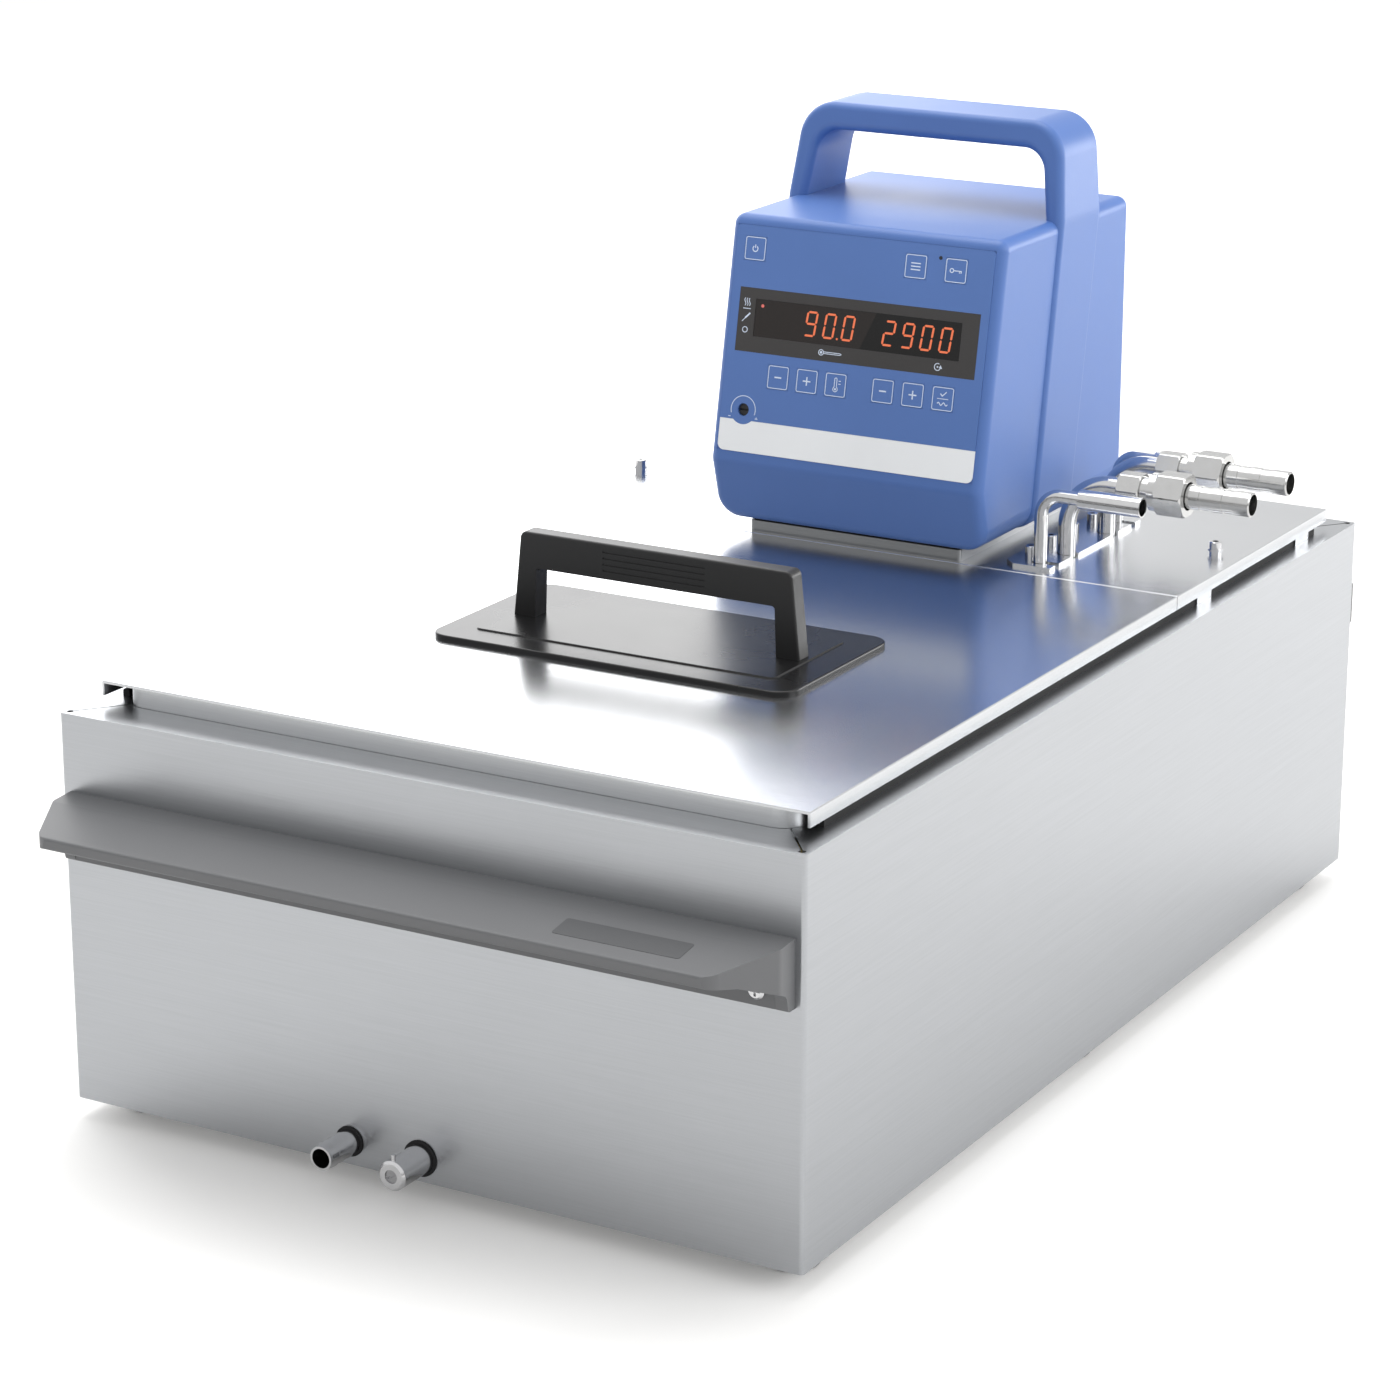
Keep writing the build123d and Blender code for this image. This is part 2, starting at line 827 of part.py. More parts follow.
def ledge():
    top = foot_height + ledge_height
    low = top - ledge_back_height
    edge = top - ledge_drop
    body = Pos(0, 0, low) * extrude(ledge_plan(0, 0, ledge_reach), ledge_back_height + sheet)
    reach = ledge_reach
    belly = ledge_belly_share * reach
    root = ledge_root_share * reach
    side = [(0, top), (-ledge_flat, top - ledge_flat_drop), (-reach, edge),
            (-reach + ledge_nose_lean, edge - ledge_lip),
            (-belly, edge - ledge_lip - ledge_belly_drop),
            (-root, low + ledge_root_rise), (-ledge_wall, low), (0, low)]
    rounds = [0, 0, ledge_nose_round, ledge_nose_round, ledge_belly_round,
              ledge_belly_round, ledge_root_round, 0]
    body &= prism_x(side, rounds, -ledge_half, ledge_half)
    scoop = Pos(0, 0, low - over) * extrude(
        ledge_plan(ledge_wall, ledge_wall, reach - ledge_nose_wall), ledge_back_height)
    skin = ledge_skin + ledge_flat_drop
    slope = [(-ledge_wall, top - skin), (-ledge_flat, top - skin),
             (-reach, edge - ledge_skin + over), (-reach, low - 2 * over),
             (-ledge_wall, low - 2 * over)]
    scoop &= prism_x(slope, [ledge_scoop_round, 0, 0, 0, 0], -ledge_half, ledge_half)
    body -= scoop
    for side_sign in (-1, 1):
        x, z = ledge_screw_place(side_sign)
        body -= rod_y(x, -ledge_wall - over, over, z, screw_shank + fit_gap)
    return body


def front_handle():
    return Pos(0, panel_y, 0) * ledge()


def rear_handle():
    return Pos(0, casing_end, 0) * Rot(0, 0, 180) * ledge()


def handle_screws():
    group = []
    depth = ledge_wall + sheet
    for turn in (0, 180):
        for side in (-1, 1):
            x, z = ledge_screw_place(side)
            front = -ledge_wall - screw_head_rise
            body = rod_y(x, front, -ledge_wall, z, screw_head)
            body = chamfer(body.edges().sort_by(Axis.Y)[0], screw_chamfer)
            for w, h in ((screw_cross_half, screw_cross_width),
                         (screw_cross_width, screw_cross_half)):
                body -= block(x - w, x + w, front - over, front + screw_cross_depth,
                              z - h, z + h)
            body += rod_y(x, -ledge_wall, depth - ledge_wall, z, screw_shank)
            group.append(Rot(0, 0, turn) * Pos(0, panel_y, 0) * body)
    return Compound(children=group)


# Lids

def side_flange(side, y0, y1, low):
    x0, x1 = sorted((side * (lid_half - lid_sheet), side * lid_half))
    return block(x0, x1, y0, y1, low, rim_top)


def ease_plate(body):
    """Ease all four top edges of a lid, as bending and deburring leave them."""
    return chamfer(body.faces().sort_by(Axis.Z)[-1].edges(), lid_easing)


def lid_plate():
    y0, y1 = -lid_end, seam_y - lid_split
    body = block(-lid_half, lid_half, y0, y1, rim_top, plate_top)
    for side in (-1, 1):
        body += side_flange(side, y0, y1, rim_top - lid_flange)
    body = ease_plate(body)
    half = cover_width / 2 - cover_seat
    body -= slab(half, cover_y - cover_length / 2 + cover_seat,
                 cover_y + cover_length / 2 - cover_seat, rim_top - over, plate_top + over,
                 cover_corner, cover_x)
    return body


def cover_plate():
    half, end = cover_width / 2, cover_length / 2
    low = cover_bottom
    plate = slab(half, cover_y - end, cover_y + end, low, low + cover_thickness,
                 cover_corner, cover_x)
    plate = fillet(plate.faces().sort_by(Axis.Z)[-1].edges(), cover_easing)
    inset = cover_panel_inset
    panel = slab(half - inset, cover_y - end + inset, cover_y + end - inset,
                 low + cover_thickness / 2, cover_top, cover_panel_corner, cover_x)
    panel = chamfer(panel.faces().sort_by(Axis.Z)[-1].edges(), cover_panel_chamfer)
    inset = cover_seat + cover_lip_gap
    lip = slab(half - inset, cover_y - end + inset, cover_y + end - inset,
               low - cover_lip_height, low + cover_thickness / 2,
               cover_corner - cover_lip_gap, cover_x)
    inset += cover_lip_wall
    lip -= slab(half - inset, cover_y - end + inset, cover_y + end - inset,
                low - cover_lip_height - over, low + cover_thickness,
                cover_corner - cover_lip_wall, cover_x)
    return plate + panel + lip


def cover_handle():
    low, high = cover_top, cover_top + grip_height
    inner = grip_foot_half - grip_foot_width
    window_top = high - grip_bar
    inner_top = inner - grip_inner_draft
    outer = [(cover_x - grip_foot_half, low), (cover_x + grip_foot_half, low),
             (cover_x + grip_top_half, high), (cover_x - grip_top_half, high)]
    y0, y1 = cover_y - grip_depth / 2, cover_y + grip_depth / 2
    body = prism_y(outer, [0, 0, grip_corner, grip_corner], y0, y1)
    edges = body.edges().filter_by(lambda e: e.center().Z > low + over)
    long_edges = edges.filter_by(lambda e: not along_axis(e).Y > 1 / 2)
    body = fillet(long_edges, grip_easing)
    gap = [(cover_x - inner, low - over), (cover_x + inner, low - over),
           (cover_x + inner_top, window_top), (cover_x - inner_top, window_top)]
    body -= prism_y(gap, [0, 0, grip_corner / 2, grip_corner / 2], y0 - over, y1 + over)
    first = high - grip_bar / 2 - groove_pitch * (groove_count - 1) / 2
    for i in range(groove_count):
        z = first + i * groove_pitch
        for y in (y0, y1):
            body -= block(cover_x - groove_length / 2, cover_x + groove_length / 2,
                          y - groove_depth, y + groove_depth, z - groove_half,
                          z + groove_half)
    return body


def bridge_plate():
    y0, y1 = seam_y + lid_split, lid_end
    body = block(-lid_half, lid_half, y0, y1, rim_top, plate_top)
    for side in (-1, 1):
        body += side_flange(side, y0, y1, rim_top - lid_flange)
    body = ease_plate(body)
    for side in (-1, 1):
        for start in tab_starts:
            y = seam_y + start
            x0, x1 = sorted((side * (lid_half - lid_sheet), side * lid_half))
            body += block(x0, x1, y, y + tab_length, casing_top, rim_top - lid_flange)
        body -= through_plate(side * (rim_half - rim_land / 2), stud_y,
                              stud_shank + fit_gap)
    inset = 2 * neck_wall + seal_width
    body -= slab(neck_half - inset, neck_front + inset, neck_back - inset,
                 rim_top - over, plate_top + over, neck_wall, head_x)
    for x, y, radius in pipe_holes():
        body -= through_plate(x, y, radius)
    for y in pipe_screw_places:
        body -= through_plate(pipe_screw_x, y, pipe_screw_shank + fit_gap)
    return body


def through_plate(x, y, radius):
    """A hole through the bridge plate and the pipe plate on it."""
    return rod_z(x, y, rim_top - over, plate_top + pipe_plate_thickness + over, radius)


def pipe_holes():
    coil = coil_radius + pipe_hole_gap
    pipe = pipe_radius + pipe_hole_gap
    return ((coil_x, coil_near, coil), (pipe_x, pipe_near, pipe),
            (pipe_x, pipe_far, pipe), (coil_x, coil_far, coil))


def bridge_screws():
    group = []
    for side in (-1, 1):
        x = side * (rim_half - rim_land / 2)
        body = screw(x, stud_y, plate_top, stud_radius, stud_height, stud_shank, lid_sheet)
        collar = plate_top + stud_collar_rise
        body += rod_z(x, stud_y, collar, collar + stud_collar_height, stud_collar)
        group.append(body)
    for y in pipe_screw_places:
        group.append(screw(pipe_screw_x, y, plate_top + pipe_plate_thickness,
                           pipe_screw_radius, pipe_screw_height, pipe_screw_shank,
                           pipe_plate_thickness + lid_sheet))
    return Compound(children=group)


# Neck frame and seal

def neck_frame():
    body = slab(neck_half, neck_front, neck_back, plate_top, neck_top, neck_wall, head_x)
    inset = neck_wall
    body -= slab(neck_half - inset, neck_front + inset, neck_back - inset,
                 plate_top - over, neck_top - neck_wall, neck_wall / 2, head_x)
    body -= rod_z(head_x, motor_y, plate_top, neck_top + over, bearing_radius)
    return body


def neck_seal():
    inset = neck_wall / 2
    body = slab(neck_half - inset, neck_front + inset, neck_back - inset,
                neck_top, head_bottom, neck_wall, head_x)
    inset += seal_width
    body -= slab(neck_half - inset, neck_front + inset, neck_back - inset,
                 neck_top - over, head_bottom + over, neck_wall, head_x)
    return body


# Head shells

def head_side_points():
    lean = tan(radians(face_lean))
    top_front = head_front + (head_top - kink_z) * lean
    return [(head_front + chin_back, head_bottom), (head_rear, head_bottom),
            (head_rear, head_top), (top_front, head_top), (head_front, kink_z)]


def head_outer():
    side = prism_x(head_side_points(), [0, 0, 0, 0, kink_round],
                   head_x - head_half, head_x + head_half)
    x0, x1 = head_x - head_half, head_x + head_half
    front = [(x0, head_bottom), (x1, head_bottom), (x1, head_top), (x0, head_top)]
    body = side & prism_y(front, [bottom_round, bottom_round, 0, 0],
                          head_front - over, head_rear + over)
    return fillet(body.edges().filter_by(is_head_edge), head_round)


def is_head_edge(edge):
    """True for the real edges of the head, not for the ends of its round corners."""
    middle = edge.center()
    along = along_axis(edge)
    if along.Y > straight and middle.Z < head_top - over:
        return False
    to_end = min(middle.Z - head_bottom, head_top - middle.Z)
    return along.X < straight or to_end < over


def head_inner():
    points = inset_points(head_side_points(), wall)
    x0, x1 = head_x - head_half + wall, head_x + head_half - wall
    low, high = head_bottom + wall, head_top - wall
    inner_round = bottom_round - wall
    front = [(x0, low), (x1, low), (x1, high), (x0, high)]
    side = prism_x(points, [0, 0, 0, 0, 0], x0 - over, x1 + over)
    room = side & prism_y(front, [inner_round, inner_round, 0, 0], 0, head_rear)
    inset = neck_wall / 2 + seal_width
    return room + slab(neck_half - inset, neck_front + inset, neck_back - inset,
                       head_bottom - over, low + over, neck_wall, head_x)


def seam_at(z):
    return head_front + seam_back + (z - head_top) * tan(radians(seam_lean))


def head_zone(front):
    low, high = head_bottom - head_half, head_top + head_half
    far = head_front - head_half if front else head_rear + head_half
    points = [(far, low), (seam_at(low), low), (seam_at(high), high), (far, high)]
    return prism_x(points, [0, 0, 0, 0], head_x - 2 * head_half, head_x + 2 * head_half)


def head_front_shell():
    body = (head_outer() & head_zone(True)) - head_inner()
    centre = foil_height / 2
    body -= on_face(0, centre, -foil_recess, over, 2 * foil_half + panel_gap,
                    foil_height + panel_gap)
    for name, u, v in key_places:
        pocket = key_size + 2 * key_gap
        body -= on_face(u, v, key_proud - key_thickness - key_travel - key_gap, over,
                        pocket, pocket)
        body -= pin_on_face(u, v, -2 * wall, over, key_stem + 2 * key_gap)
    body -= pin_on_face(adjuster_u, adjuster_v, -2 * wall, over,
                        adjuster_radius + panel_gap)
    lens = (lens_low + lens_high) / 2
    body -= on_face(0, lens, -2 * wall, 0, 2 * lens_half - lens_seat,
                    lens_high - lens_low - lens_seat)
    for u, v in board_corners():
        body += pin_on_face(u, v, -board_depth, -wall / 2 - foil_recess, wall)
    return body


def strap():
    """The handle and the ribs in which its legs run down the head."""
    top = head_top + handle_rise
    half = head_half + strap_proud
    outer = [(head_x - half, head_bottom), (head_x + half, head_bottom),
             (head_x + half, head_top), (head_x + handle_top_half, top),
             (head_x - handle_top_half, top), (head_x - half, head_top)]
    outer_radii = [bottom_round, bottom_round, leg_sweep, handle_outer_round,
                   handle_outer_round, leg_sweep]
    back = seam_at(head_top) + strap_depth
    low_back = seam_at(head_bottom) + strap_depth
    side = [(seam_at(head_bottom), head_bottom), (low_back, head_bottom), (back, head_top),
            (seam_at(top) + strap_top_depth, top), (seam_at(top), top)]
    body = prism_y(outer, outer_radii, head_front, head_rear)
    body &= prism_x(side, [0, 0, strap_sweep, 0, 0], head_x - 2 * half, head_x + 2 * half)
    under = top - grip_thickness
    low = head_top - wall
    base = leg_base_half + (leg_base_half - leg_top_half) * wall / (under - head_top)
    window = [(head_x - base, low), (head_x + base, low), (head_x + leg_top_half, under),
              (head_x - leg_top_half, under)]
    body -= prism_y(window, [0, 0, handle_inner_round, handle_inner_round],
                    head_front, head_rear + over)
    rims = body.edges().filter_by(lambda e: is_strap_rim(e, top))
    return fillet(rims, handle_edge)


def is_strap_rim(edge, top):
    """True for an edge that runs round the strap's front or back face."""
    middle = edge.center()
    front = seam_at(middle.Z)
    inside = abs(middle.X - head_x) < leg_base_half + rim_reach
    if inside and middle.Z < head_top - wall + over:
        return False
    if along_axis(edge).Y > straight - 1 / 10:
        return False
    return (abs(middle.Y - front) < over
            or middle.Y > front + strap_top_depth - 2 * over)


def head_rear_shell():
    body = (head_outer() + strap()) & head_zone(False)
    body -= head_inner()
    body -= block(inlet_x - inlet_width / 2, inlet_x + inlet_width / 2,
                  head_rear - 2 * wall, head_rear + over, inlet_z() - inlet_rise / 2,
                  inlet_z() + inlet_rise / 2)
    body -= block(data_x - data_width / 2, data_x + data_width / 2, head_rear - 2 * wall,
                  head_rear + over, inlet_z() - data_rise / 2, inlet_z() + data_rise / 2)
    for i in range(vent_count):
        z = head_bottom + vent_height + (i - (vent_count - 1) / 2) * vent_pitch
        body -= block(head_x - vent_width / 2, head_x + vent_width / 2, head_rear - 2 * wall,
                      head_rear + over, z - vent_slot / 2, z + vent_slot / 2)
    for x, z in shell_screw_places():
        body -= rod_y(x, head_rear - 2 * wall, head_rear + over, z, screw_shank + fit_gap)
    return body


def inlet_z():
    return head_bottom + inlet_height


def shell_screw_places():
    rows = (head_bottom + bottom_round, head_top - 2 * head_round)
    return [(head_x + s * shell_screw_half, z) for s in (-1, 1) for z in rows]


def shell_screws():
    group = []
    for x, z in shell_screw_places():
        front = head_rear + screw_head_rise
        body = rod_y(x, head_rear, front, z, screw_head)
        body = chamfer(body.edges().sort_by(Axis.Y)[-1], screw_chamfer)
        body -= block(x - screw_head, x + screw_head, front - screw_cross_depth,
                      front + over, z - screw_cross_width, z + screw_cross_width)
        group.append(body + rod_y(x, head_rear - 2 * wall, head_rear, z, screw_shank))
    return Compound(children=group)


# Front panel

def panel_plate(v0, v1, corners):
    """A thin plate in the panel's recess; corners lists its four radii."""
    h = foil_half
    points = [(-h, v0), (h, v0), (h, v1), (-h, v1)]
    plate = extrude(outline_face(points, corners), foil_thickness)
    return face * Pos(0, 0, -foil_recess) * plate


def adjuster_notch():
    return pin_on_face(adjuster_u, adjuster_v, -over, over, adjuster_collar)


def fascia_foil():
    body = panel_plate(strip_height, foil_height, [0, 0, foil_corner, foil_corner])
    middle = (strip_height + foil_height) / 2
    room = on_face(0, middle, -over, over, 2 * foil_half, foil_height)
    body += panel_plate(0, strip_height, [0, 0, 0, 0]) & adjuster_notch() & room
    centre = (window_low + window_high) / 2
    body -= on_face(0, centre, -over, over, 2 * window_half + fit_gap,
                    window_high - window_low + fit_gap)
    for name, u, v in key_places:
        body -= on_face(u, v, -over, over, key_size + 2 * key_gap, key_size + 2 * key_gap)
    return body - pin_on_face(adjuster_u, adjuster_v, -over, over,
                              adjuster_radius + panel_gap)


def name_strip():
    body = panel_plate(0, strip_height - fit_gap, [strip_corner, strip_corner, 0, 0])
    return body - adjuster_notch()


def display_window():
    centre = (window_low + window_high) / 2
    low, high = -foil_recess, foil_thickness - foil_recess
    body = on_face(0, centre, low, high, 2 * window_half, window_high - window_low)
    lens = (lens_low + lens_high) / 2
    return body - on_face(0, lens, high - lens_recess, high + over, 2 * lens_half,
                          lens_high - lens_low)


def segment_bars():
    """The seven bars of a digit: name, centre and length direction."""
    w, h, t = digit_width, digit_height, digit_stroke
    quarter = (h - t) / 4
    return {"a": (0, (h - t) / 2, True), "g": (0, 0, True), "d": (0, -(h - t) / 2, True),
            "f": (-(w - t) / 2, quarter, False), "b": ((w - t) / 2, quarter, False),
            "e": (-(w - t) / 2, -quarter, False), "c": ((w - t) / 2, -quarter, False)}


def segment_bar(u, v, flat):
    """One six-sided bar of a digit, lying in the face plane."""
    t = digit_stroke / 2
    reach = (digit_width if flat else (digit_height + digit_stroke) / 2) / 2 - digit_stroke - digit_gap
    points = [(-reach, -t), (reach, -t), (reach + t, 0), (reach, t), (-reach, t),
              (-reach - t, 0)]
    if not flat:
        points = [(-y, x) for x, y in points]
    lean = tan(radians(digit_slant))
    points = [(u + x + (v + y) * lean, v + y) for x, y in points]
    return extrude(make_face(Polyline(*points, close=True)), digit_depth)


def display_digits():
    shapes = {"9": "abcdfg", "0": "abcdef", "2": "abged"}
    bars = segment_bars()
    group = []
    base = foil_thickness - foil_recess - lens_recess
    for start, text in ((left_digits_u, "900"), (right_digits_u, "2900")):
        for i, digit in enumerate(text):
            place = face * Pos(start + i * digit_pitch - digit_pitch, digit_row, base)
            for name in shapes[digit]:
                group.append(place * segment_bar(*bars[name]))
    point = face * Pos(left_digits_u + digit_pitch / 2 - digit_stroke / 2,
                       digit_row - digit_height / 2 + digit_stroke / 2, base)
    group.append(point * extrude(Circle(digit_stroke / 2), digit_depth))
    return Compound(children=group)


def board_corners():
    u = foil_half - 3 * wall
    rows = (board_low + over, board_low + board_height - over)
    return [(s * u, v) for s in (-1, 1) for v in rows]


def control_board():
    middle = board_low + board_height / 2
    low = -board_depth - board_thickness
    board = on_face(0, middle, low, -board_depth, 2 * (foil_half - board_edge), board_height)
    lens = (lens_low + lens_high) / 2
    board += on_face(0, lens, -board_depth, -foil_recess - light_block_gap,
                     2 * (lens_half - lens_seat), lens_high - lens_low - 2 * lens_seat)
    for name, u, v in key_places:
        stem_end = key_proud - key_thickness - key_stem_length()
        board += on_face(u, v, -board_depth, stem_end - key_travel - fit_gap, key_switch,
                         key_switch)
    return board


def key_stem_length():
    return board_depth - stem_shorter


def key(u, v):
    low = key_proud - key_thickness
    body = on_face(u, v, low, key_proud, key_size, key_size)
    front = body.faces().sort_by(lambda f: f.center().Y)[0]
    body = chamfer(front.edges(), key_chamfer)
    return body + pin_on_face(u, v, low - key_stem_length(), low, key_stem)


def safety_adjuster():
    front = -adjuster_sink
    body = pin_on_face(adjuster_u, adjuster_v, panel_gap - board_depth, front,
                       adjuster_radius)
    slot = on_face(adjuster_u, adjuster_v, front - adjuster_slot_depth, front + over,
                   2 * adjuster_radius + over, adjuster_slot_width)
    return body - slot


# Drive unit

def motor_housing():
    low, high = neck_top, motor_top
    body = rod_z(head_x, motor_y, low, high, motor_radius)
    body = fillet(body.edges().sort_by(Axis.Z)[-1], motor_wall)
    inner = rod_z(head_x, motor_y, low + 2 * motor_wall, high - 2 * motor_wall,
                  motor_radius - motor_wall)
    middle = (low + high) / 2
    stator = rod_z(head_x, motor_y, middle - rotor_height / 2, middle + rotor_height / 2,
                   motor_radius - motor_wall / 2)
    stator -= rod_z(head_x, motor_y, low, high, stator_bore)
    body = body - inner + stator
    return body - rod_z(head_x, motor_y, low - over, high + over, bearing_radius)


def motor_bearings():
    pair = []
    for z in (neck_top + bearing_sink, motor_top - bearing_height - bearing_sink):
        ring = rod_z(head_x, motor_y, z, z + bearing_height, bearing_radius - fit_gap / 2)
        ring -= rod_z(head_x, motor_y, z - over, z + bearing_height + over,
                      shaft_radius + running_gap)
        pair.append(ring)
    return Compound(children=pair)


def impeller_z():
    return pump_bottom + (pump_height - impeller_height) / 2


def rotor_shaft():
    shaft = rod_z(head_x, motor_y, impeller_z(), motor_top + shaft_above, shaft_radius)
    middle = (neck_top + motor_top) / 2
    return shaft + rod_z(head_x, motor_y, middle - rotor_height / 2,
                         middle + rotor_height / 2, rotor_radius)


def bladed_wheel(z, radius, height, blades, hub, pitch):
    """A hub with blades set round it, bored for the shaft."""
    body = rod_z(0, 0, 0, height, hub)
    for i in range(blades):
        blade = Pos((radius + hub - over) / 2, 0, height / 2) * Rot(pitch, 0, 0) * Box(
            radius - hub, blade_thickness, height - 2 * blade_inset)
        body += Rot(0, 0, full_turn * i / blades) * blade
    body -= rod_z(0, 0, -over, height + over, shaft_radius + fit_gap / 2)
    return Pos(head_x, motor_y, z) * body


def motor_fan():
    z = motor_top + shaft_above - fan_height - shaft_tip
    return bladed_wheel(z, fan_radius, fan_height, fan_blades, fan_hub, fan_pitch)


def pump_impeller():
    return bladed_wheel(impeller_z(), impeller_radius, impeller_height, impeller_blades,
                        impeller_hub, 0)


def pump_ports():
    """Where the near and far pump pipes meet the housing, in Y."""
    return motor_y - port_near, motor_y + port_far


def pump_housing():
    z_pipe = pump_pipe_z()
    body = rod_z(head_x, motor_y, pump_bottom, pump_top, pump_radius)
    for y in pump_ports():
        end = head_x + pump_radius + port_length
        body += rod_x(head_x, end, y, z_pipe, pipe_radius + port_wall)
        body -= rod_x(head_x, end + over, y, z_pipe, pipe_radius + fit_gap)
    body -= rod_z(head_x, motor_y, pump_bottom + pump_wall, pump_top - pump_wall,
                  pump_radius - pump_wall)
    body -= rod_z(head_x, motor_y, pump_bottom - over, pump_bottom + pump_wall + over,
                  pump_inlet)
    return body - rod_z(head_x, motor_y, pump_top - pump_wall - over, pump_top + over,
                        shaft_radius + pump_shaft_gap)


def pump_columns():
    group = []
    for i in range(column_count):
        angle = radians(90 + full_turn * i / column_count)
        x = head_x + column_circle * cos(angle)
        y = motor_y + column_circle * sin(angle)
        group.append(rod_z(x, y, pump_top, neck_top - neck_wall, column_radius))
    return Compound(children=group)


def heater_coil():
    z = tub_floor + heater_floor
    high = neck_top - neck_wall
    x0, x1 = head_x - heater_half, head_x + heater_half
    y0, y1 = motor_y - heater_half, motor_y + heater_half
    left, right = head_x - heater_leg, head_x + heater_leg
    points = [(left, y0, high), (left, y0, z), (x0, y0, z), (x0, y1, z), (x1, y1, z),
              (x1, y0, z), (right, y0, z), (right, y0, high)]
    return tube_along(points, heater_turn, heater_radius, 0)


def temperature_sensors():
    high = neck_top - neck_wall
    group = []
    for x, y in sensor_places:
        probe = rod_z(x, y, tub_floor + sensor_floor, high, sensor_radius)
        group.append(fillet(probe.edges().sort_by(Axis.Z)[0], sensor_tip_round))
    return Compound(children=group)


def float_low():
    return neck_top - neck_wall - guide_length + guide_stop / 2


def float_guide():
    high = neck_top - neck_wall
    body = rod_z(float_x, float_y, high - guide_length, high, guide_radius)
    stop = guide_radius + guide_stop / 2
    body += rod_z(float_x, float_y, high - guide_length, float_low(), stop)
    collar = float_low() + float_height + float_travel + over
    return body + rod_z(float_x, float_y, collar, collar + guide_stop / 2, stop)


def level_float():
    low = float_low()
    body = rod_z(float_x, float_y, low, low + float_height, float_radius)
    body = fillet(body.edges(), float_round)
    return body - rod_z(float_x, float_y, low - over, low + float_height + over,
                        guide_radius + float_gap)


# Pipes

def cooling_coil():
    top = coil_z - coil_drop
    outer_y0, outer_y1 = coil_near, coil_far + coil_behind
    x1, x0 = coil_x, coil_left
    gap = coil_inner
    loops = [(x1, outer_y0), (x0, outer_y0), (x0, outer_y1), (x1 - gap, outer_y1),
             (x1 - gap, outer_y0 + gap), (x0 + gap, outer_y0 + gap)]
    points = [(sleeve_start, coil_near, coil_z), (coil_x, coil_near, coil_z)]
    for i, (x, y) in enumerate(loops):
        points.append((x, y, top - coil_pitch * max(0, i - 1)))
    low = top - coil_pitch * len(loops[1:])
    points += [(x0 + gap, outer_y1 - gap, low), (x1, outer_y1 - gap, low),
               (x1, coil_far, low), (coil_x, coil_far, coil_z),
               (sleeve_start, coil_far, coil_z)]
    ends = [coil_bend, coil_bend]
    turns = ends + [coil_turn] * len(loops) + ends + [coil_bend]
    body = tube_along(points, turns, coil_radius, 0)
    for y in (coil_near, coil_far):
        body += rod_x(sleeve_start - over, coil_end, y, coil_z, sleeve_radius)
        body -= rod_x(sleeve_start + sleeve_wall, coil_end + over, y, coil_z, sleeve_bore)
    return body


def pump_pipe_z():
    return pump_bottom + pump_height / 2


def pump_pipes():
    group = []
    z = pump_pipe_z()
    end = union_start + union_hex_length
    for y, port in zip((pipe_near, pipe_far), pump_ports()):
        x = head_x + pump_radius + port_length / 4
        points = [(end, y, pipe_z), (pipe_x, y, pipe_z), (pipe_x, y, z),
                  (x + pipe_run, port, z), (x, port, z)]
        group.append(tube_along(points, [pipe_bend, pipe_turn, pipe_turn],
                                pipe_radius, pipe_radius - pipe_wall))
    return Compound(children=group)


def pipe_unions():
    group = []
    for y in (pipe_near, pipe_far):
        hex_end = union_start + union_hex_length
        body = hex_x(union_start, hex_end, y, pipe_z, union_hex)
        body += rod_x(hex_end - over, union_ring_start + over, y, pipe_z, union_neck)
        body += rod_x(union_ring_start, nut_start, y, pipe_z, union_ring)
        body -= rod_x(union_start - over, hex_end + fit_gap, y, pipe_z, pipe_radius + fit_gap)
        body -= rod_x(hex_end, nut_start + over, y, pipe_z, pipe_radius - pipe_wall)
        group.append(body)
    return Compound(children=group)


def union_nuts():
    group = []
    for y in (pipe_near, pipe_far):
        body = hex_x(nut_start, nut_end, y, pipe_z, nut_flats)
        group.append(body - rod_x(nut_start - over, nut_end + over, y, pipe_z, nut_bore))
    return Compound(children=group)


def hose_nozzles():
    group = []
    start = nut_start + fit_gap
    for y in (pipe_near, pipe_far):
        body = rod_x(start, hose_reach, y, pipe_z, hose_radius)
        body = chamfer(body.edges().sort_by(Axis.X)[-1], hose_chamfer)
        for distance in hose_grooves:
            x = hose_reach - distance
            ring = rod_x(x, x + hose_groove_width, y, pipe_z, hose_radius + over)
            ring -= rod_x(x - over, x + hose_groove_width + over, y, pipe_z,
                          hose_radius - hose_groove_depth)
            body -= ring
        body += rod_x(start, start + hose_collar, y, pipe_z, nut_bore - fit_gap)
        group.append(body - rod_x(start - over, hose_reach + over, y, pipe_z, hose_bore))
    return Compound(children=group)


def pipe_plate():
    x1 = pipe_x + pipe_radius + pipe_hole_gap
    y0, y1 = coil_near - pipe_plate_end, coil_far + pipe_plate_end
    x0 = pipe_plate_left
    cut = pipe_plate_edge
    points = [(x0, y0 + cut), (x0 + cut, y0), (x1, y0), (x1, y1), (x0 + cut, y1),
              (x0, y1 - cut)]
    plate = make_face(Polyline(*points, close=True))
    body = Pos(0, 0, plate_top) * extrude(plate, pipe_plate_thickness)
    for x, y, radius in pipe_holes():
        body -= through_plate(x, y, radius)
        slot = pipe_slot_share * radius
        body -= block(x, x1 + over, y - slot, y + slot, plate_top - over,
                      plate_top + pipe_plate_thickness + over)
    for y in pipe_screw_places:
        body -= through_plate(pipe_screw_x, y, pipe_screw_shank + fit_gap)
    return body


# Sockets and boards at the back of the head

